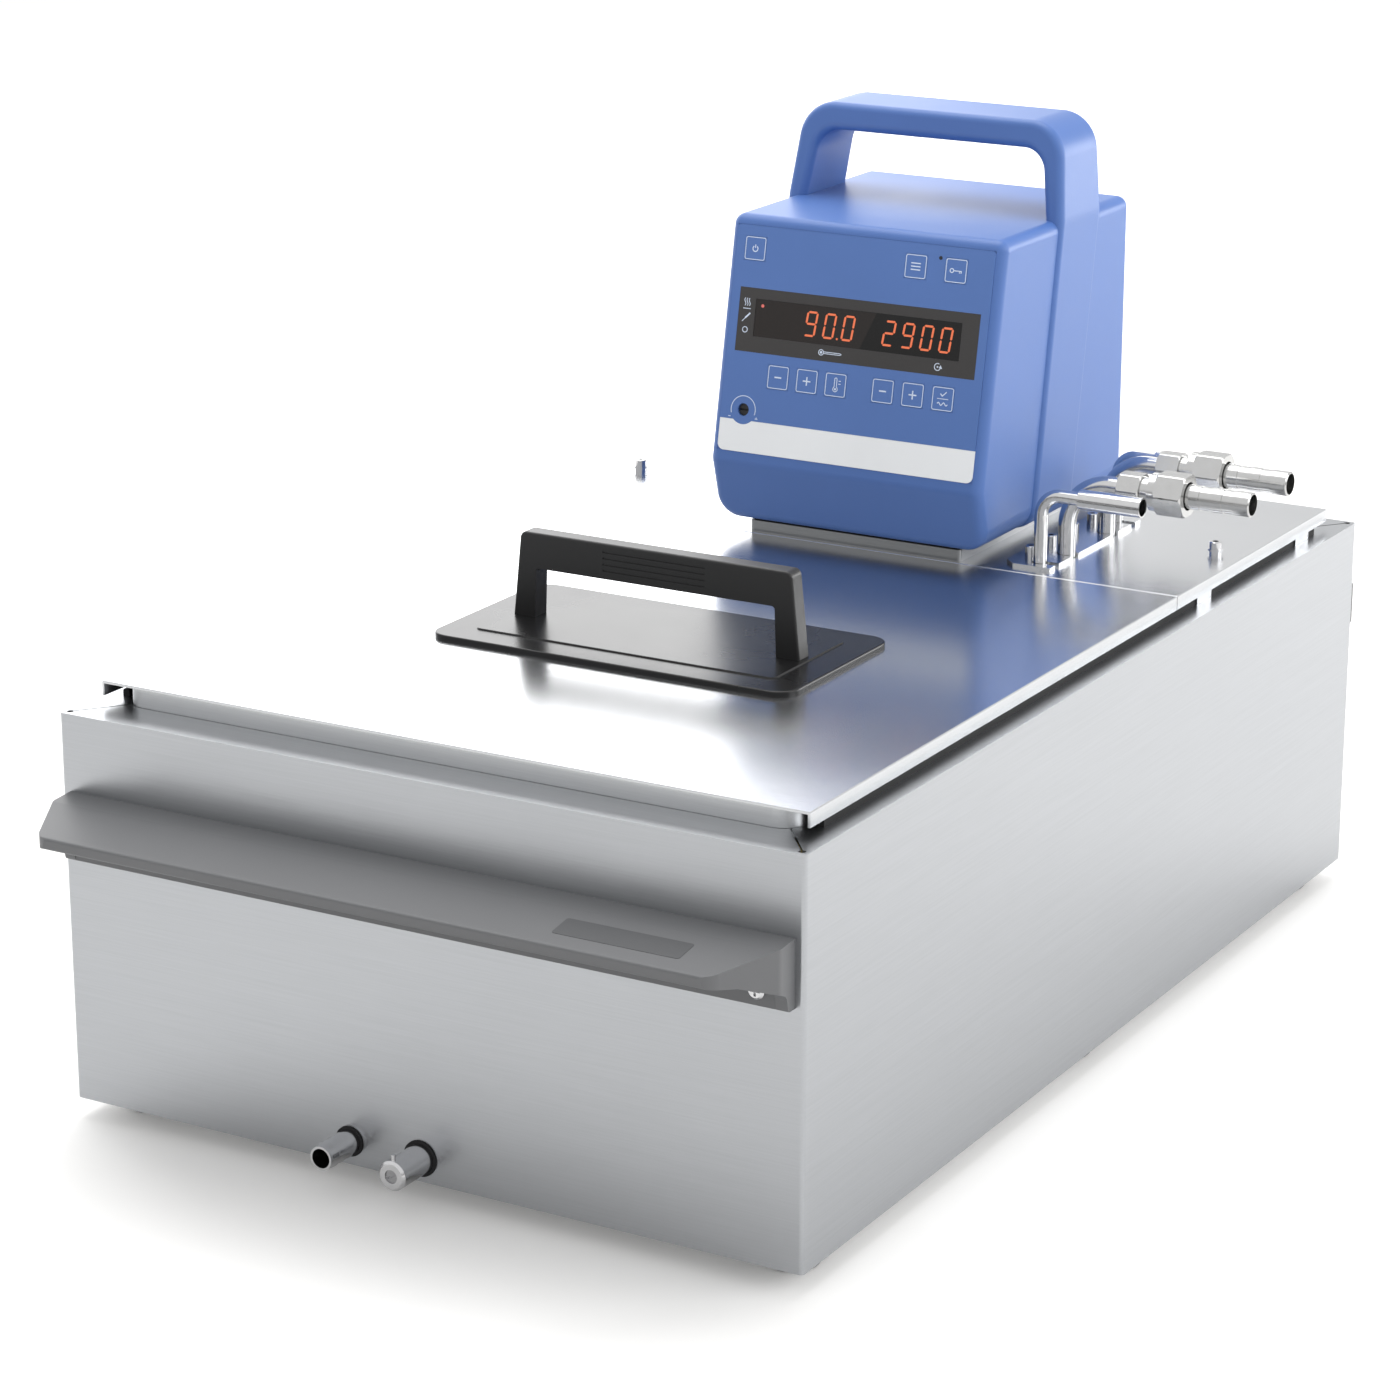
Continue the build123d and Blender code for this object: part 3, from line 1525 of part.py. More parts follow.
def rectangle_points(x, z, half_x, half_z):
    return [(x - half_x, z - half_z), (x + half_x, z - half_z),
            (x + half_x, z + half_z), (x - half_x, z + half_z)]


def flanged_block(x, width, rise, depth, edge, plate):
    """A socket's body in the rear wall, with a flange outside it."""
    z = inlet_z()
    flange = block(x - width / 2 - edge, x + width / 2 + edge, head_rear, head_rear + plate,
                   z - rise / 2 - edge, z + rise / 2 + edge)
    half_x, half_z = width / 2 - socket_gap, rise / 2 - socket_gap
    return flange + block(x - half_x, x + half_x, head_rear - depth, head_rear,
                          z - half_z, z + half_z)


def mains_inlet():
    """The connector well with its three pins, and the bay of the rocker."""
    z = inlet_z()
    mouth = head_rear + inlet_plate
    body = flanged_block(inlet_x, inlet_width, inlet_rise, inlet_depth, inlet_frame,
                         inlet_plate)
    well_x = inlet_x - inlet_width / 2 + inlet_frame + inlet_well_width / 2
    well = rectangle_points(well_x, z, inlet_well_width / 2, inlet_well_height / 2)
    corners = [inlet_well_low_round, inlet_well_low_round, inlet_well_top_round,
               inlet_well_top_round]
    floor = mouth - inlet_well_depth
    body -= prism_y(well, corners, floor, mouth + over)
    for shift, lift in inlet_pins:
        body += block(well_x + shift - pin_half_width, well_x + shift + pin_half_width,
                      floor - over, mouth - pin_sink, z + lift - pin_half_height,
                      z + lift + pin_half_height)
    x, py, pz = rocker_pivot()
    bay_w, bay_h = rocker_width / 2 + rocker_gap, rocker_height / 2 + rocker_gap
    body -= block(x - bay_w, x + bay_w, head_rear - inlet_depth + inlet_frame, mouth + over,
                  z - bay_h, z + bay_h)
    reach = rocker_pin_half + fit_gap
    return body - rod_x(x - reach, x + reach, py, pz, rocker_pin_radius + fit_gap)


def rocker_pivot():
    return inlet_x + rocker_shift, head_rear + inlet_plate - rocker_pivot_sink, inlet_z()


def rocker_switch():
    """A rocker with two sloping faces, on a pin that runs along X."""
    x, py, pz = rocker_pivot()
    points = [(py + y, pz + share * rocker_height / 2) for y, share in rocker_outline]
    body = prism_x(points, rocker_rounds, x - rocker_width / 2, x + rocker_width / 2)
    body += rod_x(x - rocker_pin_half, x + rocker_pin_half, py, pz, rocker_pin_radius)
    return Pos(0, py, pz) * Rot(rocker_angle, 0, 0) * Pos(0, -py, -pz) * body


def data_socket():
    z = inlet_z()
    body = flanged_block(data_x, data_width, data_rise, data_depth, data_edge, data_plate)
    half_x, half_z = data_shell_half, data_shell_rise / 2
    shell = [(data_x - half_x, z - half_z), (data_x + half_x, z - half_z),
             (data_x + half_x + over, z + half_z), (data_x - half_x - over, z + half_z)]
    core = inset_points(shell, data_shell_wall)
    end = head_rear + data_shell_reach
    rounds = [data_shell_round] * len(shell)
    body += prism_y(shell, rounds, head_rear + over, end)
    body -= prism_y(core, [data_shell_round / 2] * len(core), head_rear + data_plate,
                    end + over)
    for side in (-1, 1):
        post = extrude(Plane.XZ * RegularPolygon(data_post_radius, hex_sides),
                       data_post_length)
        x = data_x + side * data_post_shift
        body += Pos(x, head_rear + data_post_length, z) * post
    return body


def power_board():
    """The board across the head, with its transformer and three capacitors."""
    half = head_half - wall - board_gap
    low = head_bottom + max(bottom_round, power_board_low)
    board = block(head_x - half, head_x + half, power_board_y,
                  power_board_y + board_thickness, low, low + power_board_height)
    top = low + power_board_height - transformer_edge
    w = transformer_width / 2
    front = power_board_y - transformer_depth
    board += block(head_x - w, head_x + w, front, power_board_y, top - transformer_height, top)
    board += block(head_x - w + winding_inset, head_x + w - winding_inset, front - over,
                   power_board_y, top - transformer_height + winding_inset,
                   top - winding_inset)
    for i in range(capacitor_count):
        x = head_x - half + capacitor_edge + capacitor_pitch * i
        board += rod_y(x, power_board_y - capacitor_length, power_board_y,
                       low + capacitor_edge, capacitor_radius)
    return board


# Writing the pieces

builders = {
    "casing": casing, "base_plate": base_plate, "feet": feet, "tub": tub,
    "insulation": insulation, "drain_block": drain_block, "drain_nozzle": drain_nozzle,
    "drain_valve_body": drain_valve_body, "drain_spindle": drain_spindle,
    "drain_plug": drain_plug, "drain_seals": drain_seals, "front_handle": front_handle,
    "rear_handle": rear_handle, "handle_screws": handle_screws, "lid_plate": lid_plate,
    "cover_plate": cover_plate, "cover_handle": cover_handle, "bridge_plate": bridge_plate,
    "bridge_screws": bridge_screws, "neck_frame": neck_frame, "neck_seal": neck_seal,
    "head_front_shell": head_front_shell, "head_rear_shell": head_rear_shell,
    "shell_screws": shell_screws, "fascia_foil": fascia_foil, "name_strip": name_strip,
    "display_window": display_window, "display_digits": display_digits,
    "control_board": control_board, "safety_adjuster": safety_adjuster,
    "motor_housing": motor_housing, "motor_bearings": motor_bearings,
    "rotor_shaft": rotor_shaft, "motor_fan": motor_fan, "pump_impeller": pump_impeller,
    "pump_housing": pump_housing, "pump_columns": pump_columns, "heater_coil": heater_coil,
    "temperature_sensors": temperature_sensors, "float_guide": float_guide,
    "level_float": level_float, "cooling_coil": cooling_coil, "pump_pipes": pump_pipes,
    "pipe_unions": pipe_unions, "union_nuts": union_nuts, "hose_nozzles": hose_nozzles,
    "pipe_plate": pipe_plate, "mains_inlet": mains_inlet, "rocker_switch": rocker_switch,
    "data_socket": data_socket, "power_board": power_board,
}


def write(name, shape):
    """Centre the whole bath on X = 0 and write one piece."""
    export_step(Pos(centre_shift, 0, 0) * shape, os.path.join("parts", name + ".step"))


os.makedirs("parts", exist_ok=True)
for name, build in builders.items():
    write(name, build())
for name, u, v in key_places:
    write(name, key(u, v))
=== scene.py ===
# %% [markdown]
# # A circulating water bath
# The object is a laboratory bath of about 20 litres: a brushed steel casing with a tank inside,
# lids that lift off, and a blue control head with its pump standing on the rear plate.
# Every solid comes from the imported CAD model, so this script gives the solids their finish and
# adds what is too thin to be a solid: printed signs, bare label plates, small marks and screws.

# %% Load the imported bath
import bmesh
import bpy
import math
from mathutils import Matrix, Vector


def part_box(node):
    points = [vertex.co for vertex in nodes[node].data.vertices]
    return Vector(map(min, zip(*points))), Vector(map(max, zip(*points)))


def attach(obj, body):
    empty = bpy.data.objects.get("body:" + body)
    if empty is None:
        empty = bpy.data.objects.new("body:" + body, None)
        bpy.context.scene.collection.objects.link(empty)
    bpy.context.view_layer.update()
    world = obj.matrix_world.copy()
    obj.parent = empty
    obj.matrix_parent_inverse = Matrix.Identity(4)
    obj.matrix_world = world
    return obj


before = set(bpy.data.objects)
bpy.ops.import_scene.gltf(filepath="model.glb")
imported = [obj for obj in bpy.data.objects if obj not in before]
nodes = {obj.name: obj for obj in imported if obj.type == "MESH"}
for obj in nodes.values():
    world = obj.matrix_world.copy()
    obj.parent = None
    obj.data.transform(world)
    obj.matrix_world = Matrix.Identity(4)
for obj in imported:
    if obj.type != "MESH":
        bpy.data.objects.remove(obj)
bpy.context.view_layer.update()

# %% [markdown]
# ## Camera
# The photograph was taken with a long lens, so upright edges stay nearly parallel. The camera
# stands to the right of the front, about 1.8 m away, and looks down by 17.5 degrees. Its place
# is written as real distances from the middle of the floor under the bath, and its view as a
# focal length.

# %% Camera
CAMERA_PLACE = Vector((0.8201, -1.4733, 0.6636))
CAMERA_AZIMUTH = math.radians(30.10)
CAMERA_ELEVATION = math.radians(17.47)
FOCAL_LENGTH = 105.94
SENSOR_WIDTH = 36.0


def add_camera():
    data = bpy.data.cameras.new("camera")
    data.lens = FOCAL_LENGTH
    data.sensor_width = SENSOR_WIDTH
    camera = bpy.data.objects.new("camera", data)
    bpy.context.scene.collection.objects.link(camera)
    level = math.cos(CAMERA_ELEVATION)
    back = Vector((math.sin(CAMERA_AZIMUTH) * level, -math.cos(CAMERA_AZIMUTH) * level,
                   math.sin(CAMERA_ELEVATION)))
    camera.location = CAMERA_PLACE
    camera.rotation_mode = "QUATERNION"
    camera.rotation_quaternion = (-back).to_track_quat("-Z", "Y")
    bpy.context.scene.camera = camera
    return camera


camera = add_camera()
bpy.context.scene.view_settings.view_transform = "Standard"
print("camera", [round(v, 3) for v in camera.location], "lens", camera.data.lens)

# %% [markdown]
# ## Colours
# A colour on a screen is coded on a curve, while Blender's sockets work in linear light. One
# helper turns the screen's 0 to 255 into linear light, so that colours can be written down as
# they look.

# %% Colour helper
SCREEN_MOST = 255
CURVE_START = 0.04045
CURVE_OFFSET = 0.055
CURVE_POWER = 2.4
STRAIGHT_SLOPE = 12.92


def screen_colour(red, green, blue):
    """A screen colour, 0 to 255, as linear red, green, blue and alpha."""
    linear = []
    for part in (red / SCREEN_MOST, green / SCREEN_MOST, blue / SCREEN_MOST):
        straight = part / STRAIGHT_SLOPE
        curved = ((part + CURVE_OFFSET) / (1 + CURVE_OFFSET)) ** CURVE_POWER
        linear.append(straight if part <= CURVE_START else curved)
    return (*linear, 1.0)


def shade(colour, factor):
    """A linear colour made lighter or darker."""
    return (*[min(1.0, part * factor) for part in colour[:3]], 1.0)


print("middle grey", [round(v, 3) for v in screen_colour(128, 128, 128)])

# %% Node helpers


def new_material(name):
    material = bpy.data.materials.new(name)
    material.use_nodes = True
    material.node_tree.nodes.clear()
    return material, material.node_tree


def add_node(tree, kind, **settings):
    node = tree.nodes.new(kind)
    for key, value in settings.items():
        setattr(node, key, value)
    return node


def link(tree, source, target):
    tree.links.new(source, target)


def blend_numbers(tree, factor, first, second):
    """A number that goes from first to second as the factor goes from 0 to 1."""
    mix = add_node(tree, "ShaderNodeMix", data_type="FLOAT")
    link(tree, factor, mix.inputs["Factor"])
    for value, socket in ((first, mix.inputs["A"]), (second, mix.inputs["B"])):
        if isinstance(value, float):
            socket.default_value = value
        else:
            link(tree, value, socket)
    return mix.outputs["Result"]


def inverse(tree, source):
    """One divided by the number that comes in."""
    node = add_node(tree, "ShaderNodeMath", operation="DIVIDE")
    node.inputs[0].default_value = 1.0
    link(tree, source, node.inputs[1])
    return node.outputs[0]


print("node helpers ready")

# %% [markdown]
# ## Studio
# The bath stands in an even white studio. The sky is full white where it is seen, and softer
# where it lights the object, so that colours come out about as they are written. Where it is
# mirrored it is darker near the horizon, as the walls of a studio are, which gives polished
# metal its contrast. The floor is white too, and keeps only the soft shadow under the bath.

# %% World
SKY_LIGHT = 0.72
SKY_SEEN = 1.0
MIRRORED_BAND = {"From Min": 0.0, "From Max": 0.3, "To Min": 0.32, "To Max": 1.0}


def add_world():
    """White where it is seen, softer where it lights, darker low down where it is mirrored."""
    world = bpy.data.worlds.new("studio")
    bpy.context.scene.world = world
    world.use_nodes = True
    tree = world.node_tree
    tree.nodes.clear()
    way = add_node(tree, "ShaderNodeTexCoord")
    parts = add_node(tree, "ShaderNodeSeparateXYZ")
    link(tree, way.outputs["Generated"], parts.inputs[0])
    band = add_node(tree, "ShaderNodeMapRange", interpolation_type="SMOOTHSTEP")
    for title, value in MIRRORED_BAND.items():
        band.inputs[title].default_value = value
    link(tree, parts.outputs["Z"], band.inputs["Value"])
    path = add_node(tree, "ShaderNodeLightPath")
    strength = blend_numbers(tree, path.outputs["Is Glossy Ray"], SKY_LIGHT,
                             band.outputs["Result"])
    strength = blend_numbers(tree, path.outputs["Is Transmission Ray"], strength, SKY_SEEN)
    strength = blend_numbers(tree, path.outputs["Is Camera Ray"], strength, SKY_SEEN)
    backdrop = add_node(tree, "ShaderNodeBackground")
    backdrop.inputs["Color"].default_value = (1.0, 1.0, 1.0, 1.0)
    link(tree, strength, backdrop.inputs["Strength"])
    output = add_node(tree, "ShaderNodeOutputWorld")
    link(tree, backdrop.outputs[0], output.inputs[0])


add_world()
print("sky light", SKY_LIGHT)

# %% Floor
FLOOR_COLOUR = (0.9, 0.895, 0.885, 1.0)
FLOOR_GLOW = (1.0, 0.995, 0.985, 1.0)
FLOOR_LIFT = 0.16
FLOOR_RADIUS = 14.0
FLOOR_SIDES = 96


def floor_material():
    """Matt white that looks a little lighter to the camera than its light makes it."""
    material, tree = new_material("studio floor")
    path = add_node(tree, "ShaderNodeLightPath")
    matt = add_node(tree, "ShaderNodeBsdfDiffuse")
    matt.inputs["Color"].default_value = FLOOR_COLOUR
    glow = add_node(tree, "ShaderNodeEmission")
    glow.inputs["Color"].default_value = FLOOR_GLOW
    lift = add_node(tree, "ShaderNodeMath", operation="MULTIPLY")
    lift.inputs[1].default_value = FLOOR_LIFT
    link(tree, path.outputs["Is Camera Ray"], lift.inputs[0])
    link(tree, lift.outputs[0], glow.inputs["Strength"])
    both = add_node(tree, "ShaderNodeAddShader")
    link(tree, matt.outputs[0], both.inputs[0])
    link(tree, glow.outputs[0], both.inputs[1])
    output = add_node(tree, "ShaderNodeOutputMaterial")
    link(tree, both.outputs[0], output.inputs[0])
    return material


def add_floor():
    points = [(FLOOR_RADIUS * math.cos(i * math.tau / FLOOR_SIDES),
               FLOOR_RADIUS * math.sin(i * math.tau / FLOOR_SIDES), 0.0)
              for i in range(FLOOR_SIDES)]
    mesh = bpy.data.meshes.new("floor")
    mesh.from_pydata(points, [], [list(range(FLOOR_SIDES))])
    floor = bpy.data.objects.new("floor", mesh)
    floor.data.materials.append(floor_material())
    bpy.context.scene.collection.objects.link(floor)


add_floor()
print("floor radius", FLOOR_RADIUS, "m")

# %% [markdown]
# ## Lamps
# Soft boxes shape the bath. One high on the right makes the right side of the casing and of the
# head lighter than the front, and one above lights the tops. A wide panel behind on the left is
# what the mirror-like lid shows: it is nearly white except where the blue head stands before
# the panel. A low lamp lies where the right side mirrors the room, which keeps it bright.

# %% Lamps
TARGET = Vector((0.0, 0.0, 0.15))


def soft_box(name, place, width, height, power):
    """A lit rectangle that faces the bath, in metres and watts."""
    data = bpy.data.lights.new(name, "AREA")
    data.shape = "RECTANGLE"
    data.size = width
    data.size_y = height
    data.energy = power
    lamp = bpy.data.objects.new(name, data)
    lamp.location = place
    lamp.rotation_mode = "QUATERNION"
    lamp.rotation_quaternion = (TARGET - Vector(place)).to_track_quat("-Z", "Y")
    bpy.context.scene.collection.objects.link(lamp)
    print("lamp", name, "at", place, "power", power)


soft_box("right soft box", (2.6, 0.4, 1.6), width=2.0, height=2.0, power=33.0)
soft_box("top soft box", (-0.6, 0.5, 3.0), width=2.4, height=2.4, power=58.0)
soft_box("back left panel", (-1.8, 1.5, 1.0), width=2.3, height=1.6, power=30.0)
soft_box("low right lamp", (1.5, 2.3, 0.45), width=1.2, height=0.7, power=24.0)

# %% [markdown]
# ## Shared surface effects
# Brushed steel shows fine parallel scratches, moulded plastic a fine grain, and everything that
# is handled a faint unevenness in its gloss. Each effect is one node group that puts out a mask
# and a height. The materials place the groups with their own values and feed them to their own
# shader, so one change to a group reaches every finish that uses it.

# %% Effect groups


def effect_group(name, inputs):
    """A shader group with number inputs, and the outputs Mask and Height."""
    group = bpy.data.node_groups.new(name, "ShaderNodeTree")
    for title, value in inputs:
        socket = group.interface.new_socket(title, in_out="INPUT",
                                            socket_type="NodeSocketFloat")
        socket.default_value = value
    for title in ("Mask", "Height"):
        group.interface.new_socket(title, in_out="OUTPUT", socket_type="NodeSocketFloat")
    start = add_node(group, "NodeGroupInput")
    end = add_node(group, "NodeGroupOutput")
    place = add_node(group, "ShaderNodeTexCoord")
    return group, start, end, place


def add_noise(group, end, detail, roughness, distortion=0.0):
    """Noise that feeds both outputs of an effect group."""
    noise = add_node(group, "ShaderNodeTexNoise")
    noise.inputs["Detail"].default_value = detail
    noise.inputs["Roughness"].default_value = roughness
    noise.inputs["Distortion"].default_value = distortion
    for title in ("Mask", "Height"):
        link(group, noise.outputs["Fac"], end.inputs[title])
    return noise


def brushed_group():
    """Long fine scratches, as long as Length and as wide as Width, in metres."""
    inputs = [("Along X", 1.0), ("Along Y", 0.0), ("Length", 0.05), ("Width", 0.0006)]
    group, start, end, place = effect_group("brushed grain", inputs)
    fine = inverse(group, start.outputs["Width"])
    coarse = inverse(group, start.outputs["Length"])
    scales = add_node(group, "ShaderNodeCombineXYZ")
    for axis in "XY":
        scale = blend_numbers(group, start.outputs["Along " + axis], fine, coarse)
        link(group, scale, scales.inputs[axis])
    link(group, fine, scales.inputs["Z"])
    stretched = add_node(group, "ShaderNodeVectorMath", operation="MULTIPLY")
    link(group, place.outputs["Object"], stretched.inputs[0])
    link(group, scales.outputs[0], stretched.inputs[1])
    noise = add_noise(group, end, detail=3.0, roughness=0.6)
    noise.inputs["Scale"].default_value = 1.0
    link(group, stretched.outputs[0], noise.inputs["Vector"])
    return group


def even_group(name, size, detail, roughness, distortion):
    """Noise that is alike in all directions, with patches as wide as Size, in metres."""
    group, start, end, place = effect_group(name, [("Size", size)])
    noise = add_noise(group, end, detail, roughness, distortion)
    link(group, inverse(group, start.outputs["Size"]), noise.inputs["Scale"])
    link(group, place.outputs["Object"], noise.inputs["Vector"])
    return group


BRUSHED = brushed_group()
SPECKLE = even_group("moulded grain", size=0.0008, detail=2.0, roughness=0.5, distortion=0.0)
HANDLING = even_group("handling marks", size=0.09, detail=4.0, roughness=0.55, distortion=0.4)
print("effect groups", [group.name for group in (BRUSHED, SPECKLE, HANDLING)])

# %% [markdown]
# ## Finishes
# Every finish is one Principled shader. Two helpers cover nearly all of them: one lays an
# effect over the roughness and the colour, and one turns it into a shallow bump. What is the
# same all over the surface is set on the shader's own sockets.

# %% Helpers for finishes
MASK_LOW = 0.25
MASK_HIGH = 0.75


def place_group(tree, group, **values):
    node = add_node(tree, "ShaderNodeGroup", node_tree=group)
    for title, value in values.items():
        node.inputs[title.replace("_", " ")].default_value = value
    return node


def spread_value(tree, mask, low, high):
    """A number that runs from low to high as the mask runs through its middle half."""
    ramp = add_node(tree, "ShaderNodeMapRange")
    ramp.inputs["From Min"].default_value = MASK_LOW
    ramp.inputs["From Max"].default_value = MASK_HIGH
    ramp.inputs["To Min"].default_value = low
    ramp.inputs["To Max"].default_value = high
    link(tree, mask, ramp.inputs["Value"])
    return ramp.outputs["Result"]


def spread_colour(tree, mask, low, high):
    mix = add_node(tree, "ShaderNodeMix", data_type="RGBA")
    mix.inputs["A"].default_value = low
    mix.inputs["B"].default_value = high
    link(tree, spread_value(tree, mask, 0.0, 1.0), mix.inputs["Factor"])
    return mix.outputs["Result"]


def bump(tree, height, distance):
    node = add_node(tree, "ShaderNodeBump")
    node.inputs["Strength"].default_value = 1.0
    node.inputs["Distance"].default_value = distance
    link(tree, height, node.inputs["Height"])
    return node.outputs["Normal"]


def principled(tree, metallic=0.0, roughness=0.5, specular=0.5):
    shader = add_node(tree, "ShaderNodeBsdfPrincipled")
    shader.inputs["Metallic"].default_value = metallic
    shader.inputs["Roughness"].default_value = roughness
    shader.inputs["Specular IOR Level"].default_value = specular
    output = add_node(tree, "ShaderNodeOutputMaterial")
    link(tree, shader.outputs[0], output.inputs[0])
    return shader


print("mask runs from", MASK_LOW, "to", MASK_HIGH)

# %% Steel, brushed and bright
SHEET_MARKS = 0.16
SHEET_TINT = 0.04
METAL_TINT = 0.07
SIDE_FROM = math.sqrt(0.5)


def turn_grain(tree, grain):
    """Let the scratches run level on all four sides of a folded casing."""
    place = add_node(tree, "ShaderNodeTexCoord")
    parts = add_node(tree, "ShaderNodeSeparateXYZ")
    link(tree, place.outputs["Normal"], parts.inputs[0])
    size = add_node(tree, "ShaderNodeMath", operation="ABSOLUTE")
    link(tree, parts.outputs["X"], size.inputs[0])
    side = add_node(tree, "ShaderNodeMath", operation="GREATER_THAN")
    link(tree, size.outputs[0], side.inputs[0])
    side.inputs[1].default_value = SIDE_FROM
    other = add_node(tree, "ShaderNodeMath", operation="SUBTRACT")
    other.inputs[0].default_value = 1.0
    link(tree, side.outputs[0], other.inputs[1])
    link(tree, side.outputs[0], grain.inputs["Along Y"])
    link(tree, other.outputs[0], grain.inputs["Along X"])


def brushed_steel(name, colour, rough_low, rough_high, along, scratch=0.00002):
    """Sheet steel whose scratches run along X or Y, or level round the sides."""
    material, tree = new_material(name)
    shader = principled(tree, metallic=1.0)
    grain = place_group(tree, BRUSHED, Along_X=float(along == "X"),
                        Along_Y=float(along == "Y"))
    if along == "level":
        turn_grain(tree, grain)
    marks = place_group(tree, HANDLING, Size=SHEET_MARKS)
    tint = spread_colour(tree, grain.outputs["Mask"], shade(colour, 1 - SHEET_TINT),
                         shade(colour, 1 + SHEET_TINT))
    link(tree, tint, shader.inputs["Base Color"])
    link(tree, spread_value(tree, marks.outputs["Mask"], rough_low, rough_high),
         shader.inputs["Roughness"])
    link(tree, bump(tree, grain.outputs["Height"], scratch), shader.inputs["Normal"])
    return material


def bright_metal(name, colour, rough_low, rough_high, mark_size=0.004):
    """Turned, drawn or plated metal with a soft gloss."""
    material, tree = new_material(name)
    shader = principled(tree, metallic=1.0)
    marks = place_group(tree, HANDLING, Size=mark_size)
    tint = spread_colour(tree, marks.outputs["Mask"], shade(colour, 1 - METAL_TINT), colour)
    link(tree, tint, shader.inputs["Base Color"])
    link(tree, spread_value(tree, marks.outputs["Mask"], rough_low, rough_high),
         shader.inputs["Roughness"])
    return material


CASING_STEEL = brushed_steel("casing steel", (0.435, 0.447, 0.465, 1.0), 0.27, 0.33, "level")
SHEET_STEEL = brushed_steel("sheet steel", (0.6, 0.61, 0.62, 1.0), 0.28, 0.36, "Y")
NECK_STEEL = brushed_steel("neck steel", (0.28, 0.285, 0.29, 1.0), 0.26, 0.34, "X")
LID_STEEL = brushed_steel("lid steel", (0.6, 0.61, 0.625, 1.0), 0.19, 0.24, "X",
                          scratch=0.000012)
TANK_STEEL = brushed_steel("tank steel", (0.66, 0.67, 0.68, 1.0), 0.34, 0.38, "X",
                           scratch=0.00001)
BRIGHT_STEEL = bright_metal("bright steel", (0.62, 0.62, 0.63, 1.0), 0.14, 0.24)
SPINDLE_STEEL = bright_metal("spindle steel", (0.36, 0.36, 0.37, 1.0), 0.2, 0.3)
TUBE_STEEL = bright_metal("tube steel", (0.63, 0.63, 0.635, 1.0), 0.12, 0.2)
UNION_STEEL = bright_metal("union steel", (0.56, 0.56, 0.555, 1.0), 0.16, 0.26)
SHAFT_STEEL = bright_metal("shaft steel", (0.68, 0.68, 0.69, 1.0), 0.2, 0.3)
HEATER_METAL = bright_metal("heater metal", (0.55, 0.54, 0.51, 1.0), 0.25, 0.38)
MOTOR_METAL = bright_metal("motor metal", (0.6, 0.61, 0.62, 1.0), 0.38, 0.5, mark_size=0.02)
SOCKET_METAL = bright_metal("socket metal", (0.66, 0.66, 0.66, 1.0), 0.25, 0.35)
LABEL_SILVER = bright_metal("label foil", (0.62, 0.63, 0.64, 1.0), 0.32, 0.4, mark_size=0.03)
BRASS = bright_metal("brass", (0.78, 0.6, 0.3, 1.0), 0.22, 0.34)
print("metals made, such as", CASING_STEEL.name, "and", BRIGHT_STEEL.name)

# %% Plastics and rubber
PLASTIC_MARKS = 0.07
PLASTIC_TINT = 0.03
FINE_GRAIN = 0.0005


def moulded_plastic(name, colour, rough_low, rough_high, grain=0.0009, depth=0.00002,
                    specular=0.5):
    """Moulded plastic with a fine eroded texture and slightly uneven gloss."""
    material, tree = new_material(name)
    shader = principled(tree, specular=specular)
    texture = place_group(tree, SPECKLE, Size=grain)
    marks = place_group(tree, HANDLING, Size=PLASTIC_MARKS)
    tint = spread_colour(tree, marks.outputs["Mask"], shade(colour, 1 - PLASTIC_TINT),
                         shade(colour, 1 + PLASTIC_TINT))
    link(tree, tint, shader.inputs["Base Color"])
    link(tree, spread_value(tree, marks.outputs["Mask"], rough_low, rough_high),
         shader.inputs["Roughness"])
    link(tree, bump(tree, texture.outputs["Height"], depth), shader.inputs["Normal"])
    return material


BLUE_PLASTIC = moulded_plastic("blue plastic", screen_colour(76, 111, 176), 0.4, 0.46)
BLUE_FOIL = moulded_plastic("blue foil", screen_colour(84, 119, 184), 0.36, 0.42,
                            grain=FINE_GRAIN, depth=0.000008)
GREY_PLASTIC = moulded_plastic("grey plastic", screen_colour(100, 101, 103), 0.44, 0.52)
BLACK_COVER = moulded_plastic("black cover", screen_colour(22, 22, 23), 0.24, 0.3,
                              grain=0.0007, depth=0.000006, specular=0.32)
BLACK_HANDLE = moulded_plastic("black handle", screen_colour(22, 22, 23), 0.36, 0.44)
WHITE_STRIP = moulded_plastic("white strip", screen_colour(246, 248, 250), 0.42, 0.5,
                              grain=FINE_GRAIN, depth=0.000005)
WINDOW_FRAME = moulded_plastic("window frame", screen_colour(58, 56, 56), 0.3, 0.36,
                               grain=FINE_GRAIN, depth=0.000005)
BLACK_PLASTIC = moulded_plastic("black plastic", screen_colour(30, 30, 31), 0.4, 0.5)
SWITCH_PLASTIC = moulded_plastic("switch plastic", screen_colour(42, 42, 43), 0.2, 0.28)
FLOAT_PLASTIC = moulded_plastic("float plastic", screen_colour(226, 226, 218), 0.4, 0.5)
RUBBER = moulded_plastic("black rubber", screen_colour(32, 32, 33), 0.65, 0.78,
                         grain=0.0012, depth=0.00004, specular=0.3)
FOAM = moulded_plastic("insulation foam", screen_colour(222, 205, 150), 0.85, 0.95,
                       grain=0.0016, depth=0.0003, specular=0.2)
BOARD_GREEN = moulded_plastic("circuit board", screen_colour(42, 106, 68), 0.35, 0.45)
PRINT_WHITE = moulded_plastic("white print", screen_colour(214, 226, 245), 0.45, 0.5,
                              grain=FINE_GRAIN, depth=0.000002)
PRINT_DARK = moulded_plastic("dark print", screen_colour(30, 32, 38), 0.3, 0.36,
                             grain=FINE_GRAIN, depth=0.000002)
LABEL_GREY = moulded_plastic("label plate", screen_colour(74, 75, 77), 0.42, 0.48,
                             grain=0.0006, depth=0.000006)
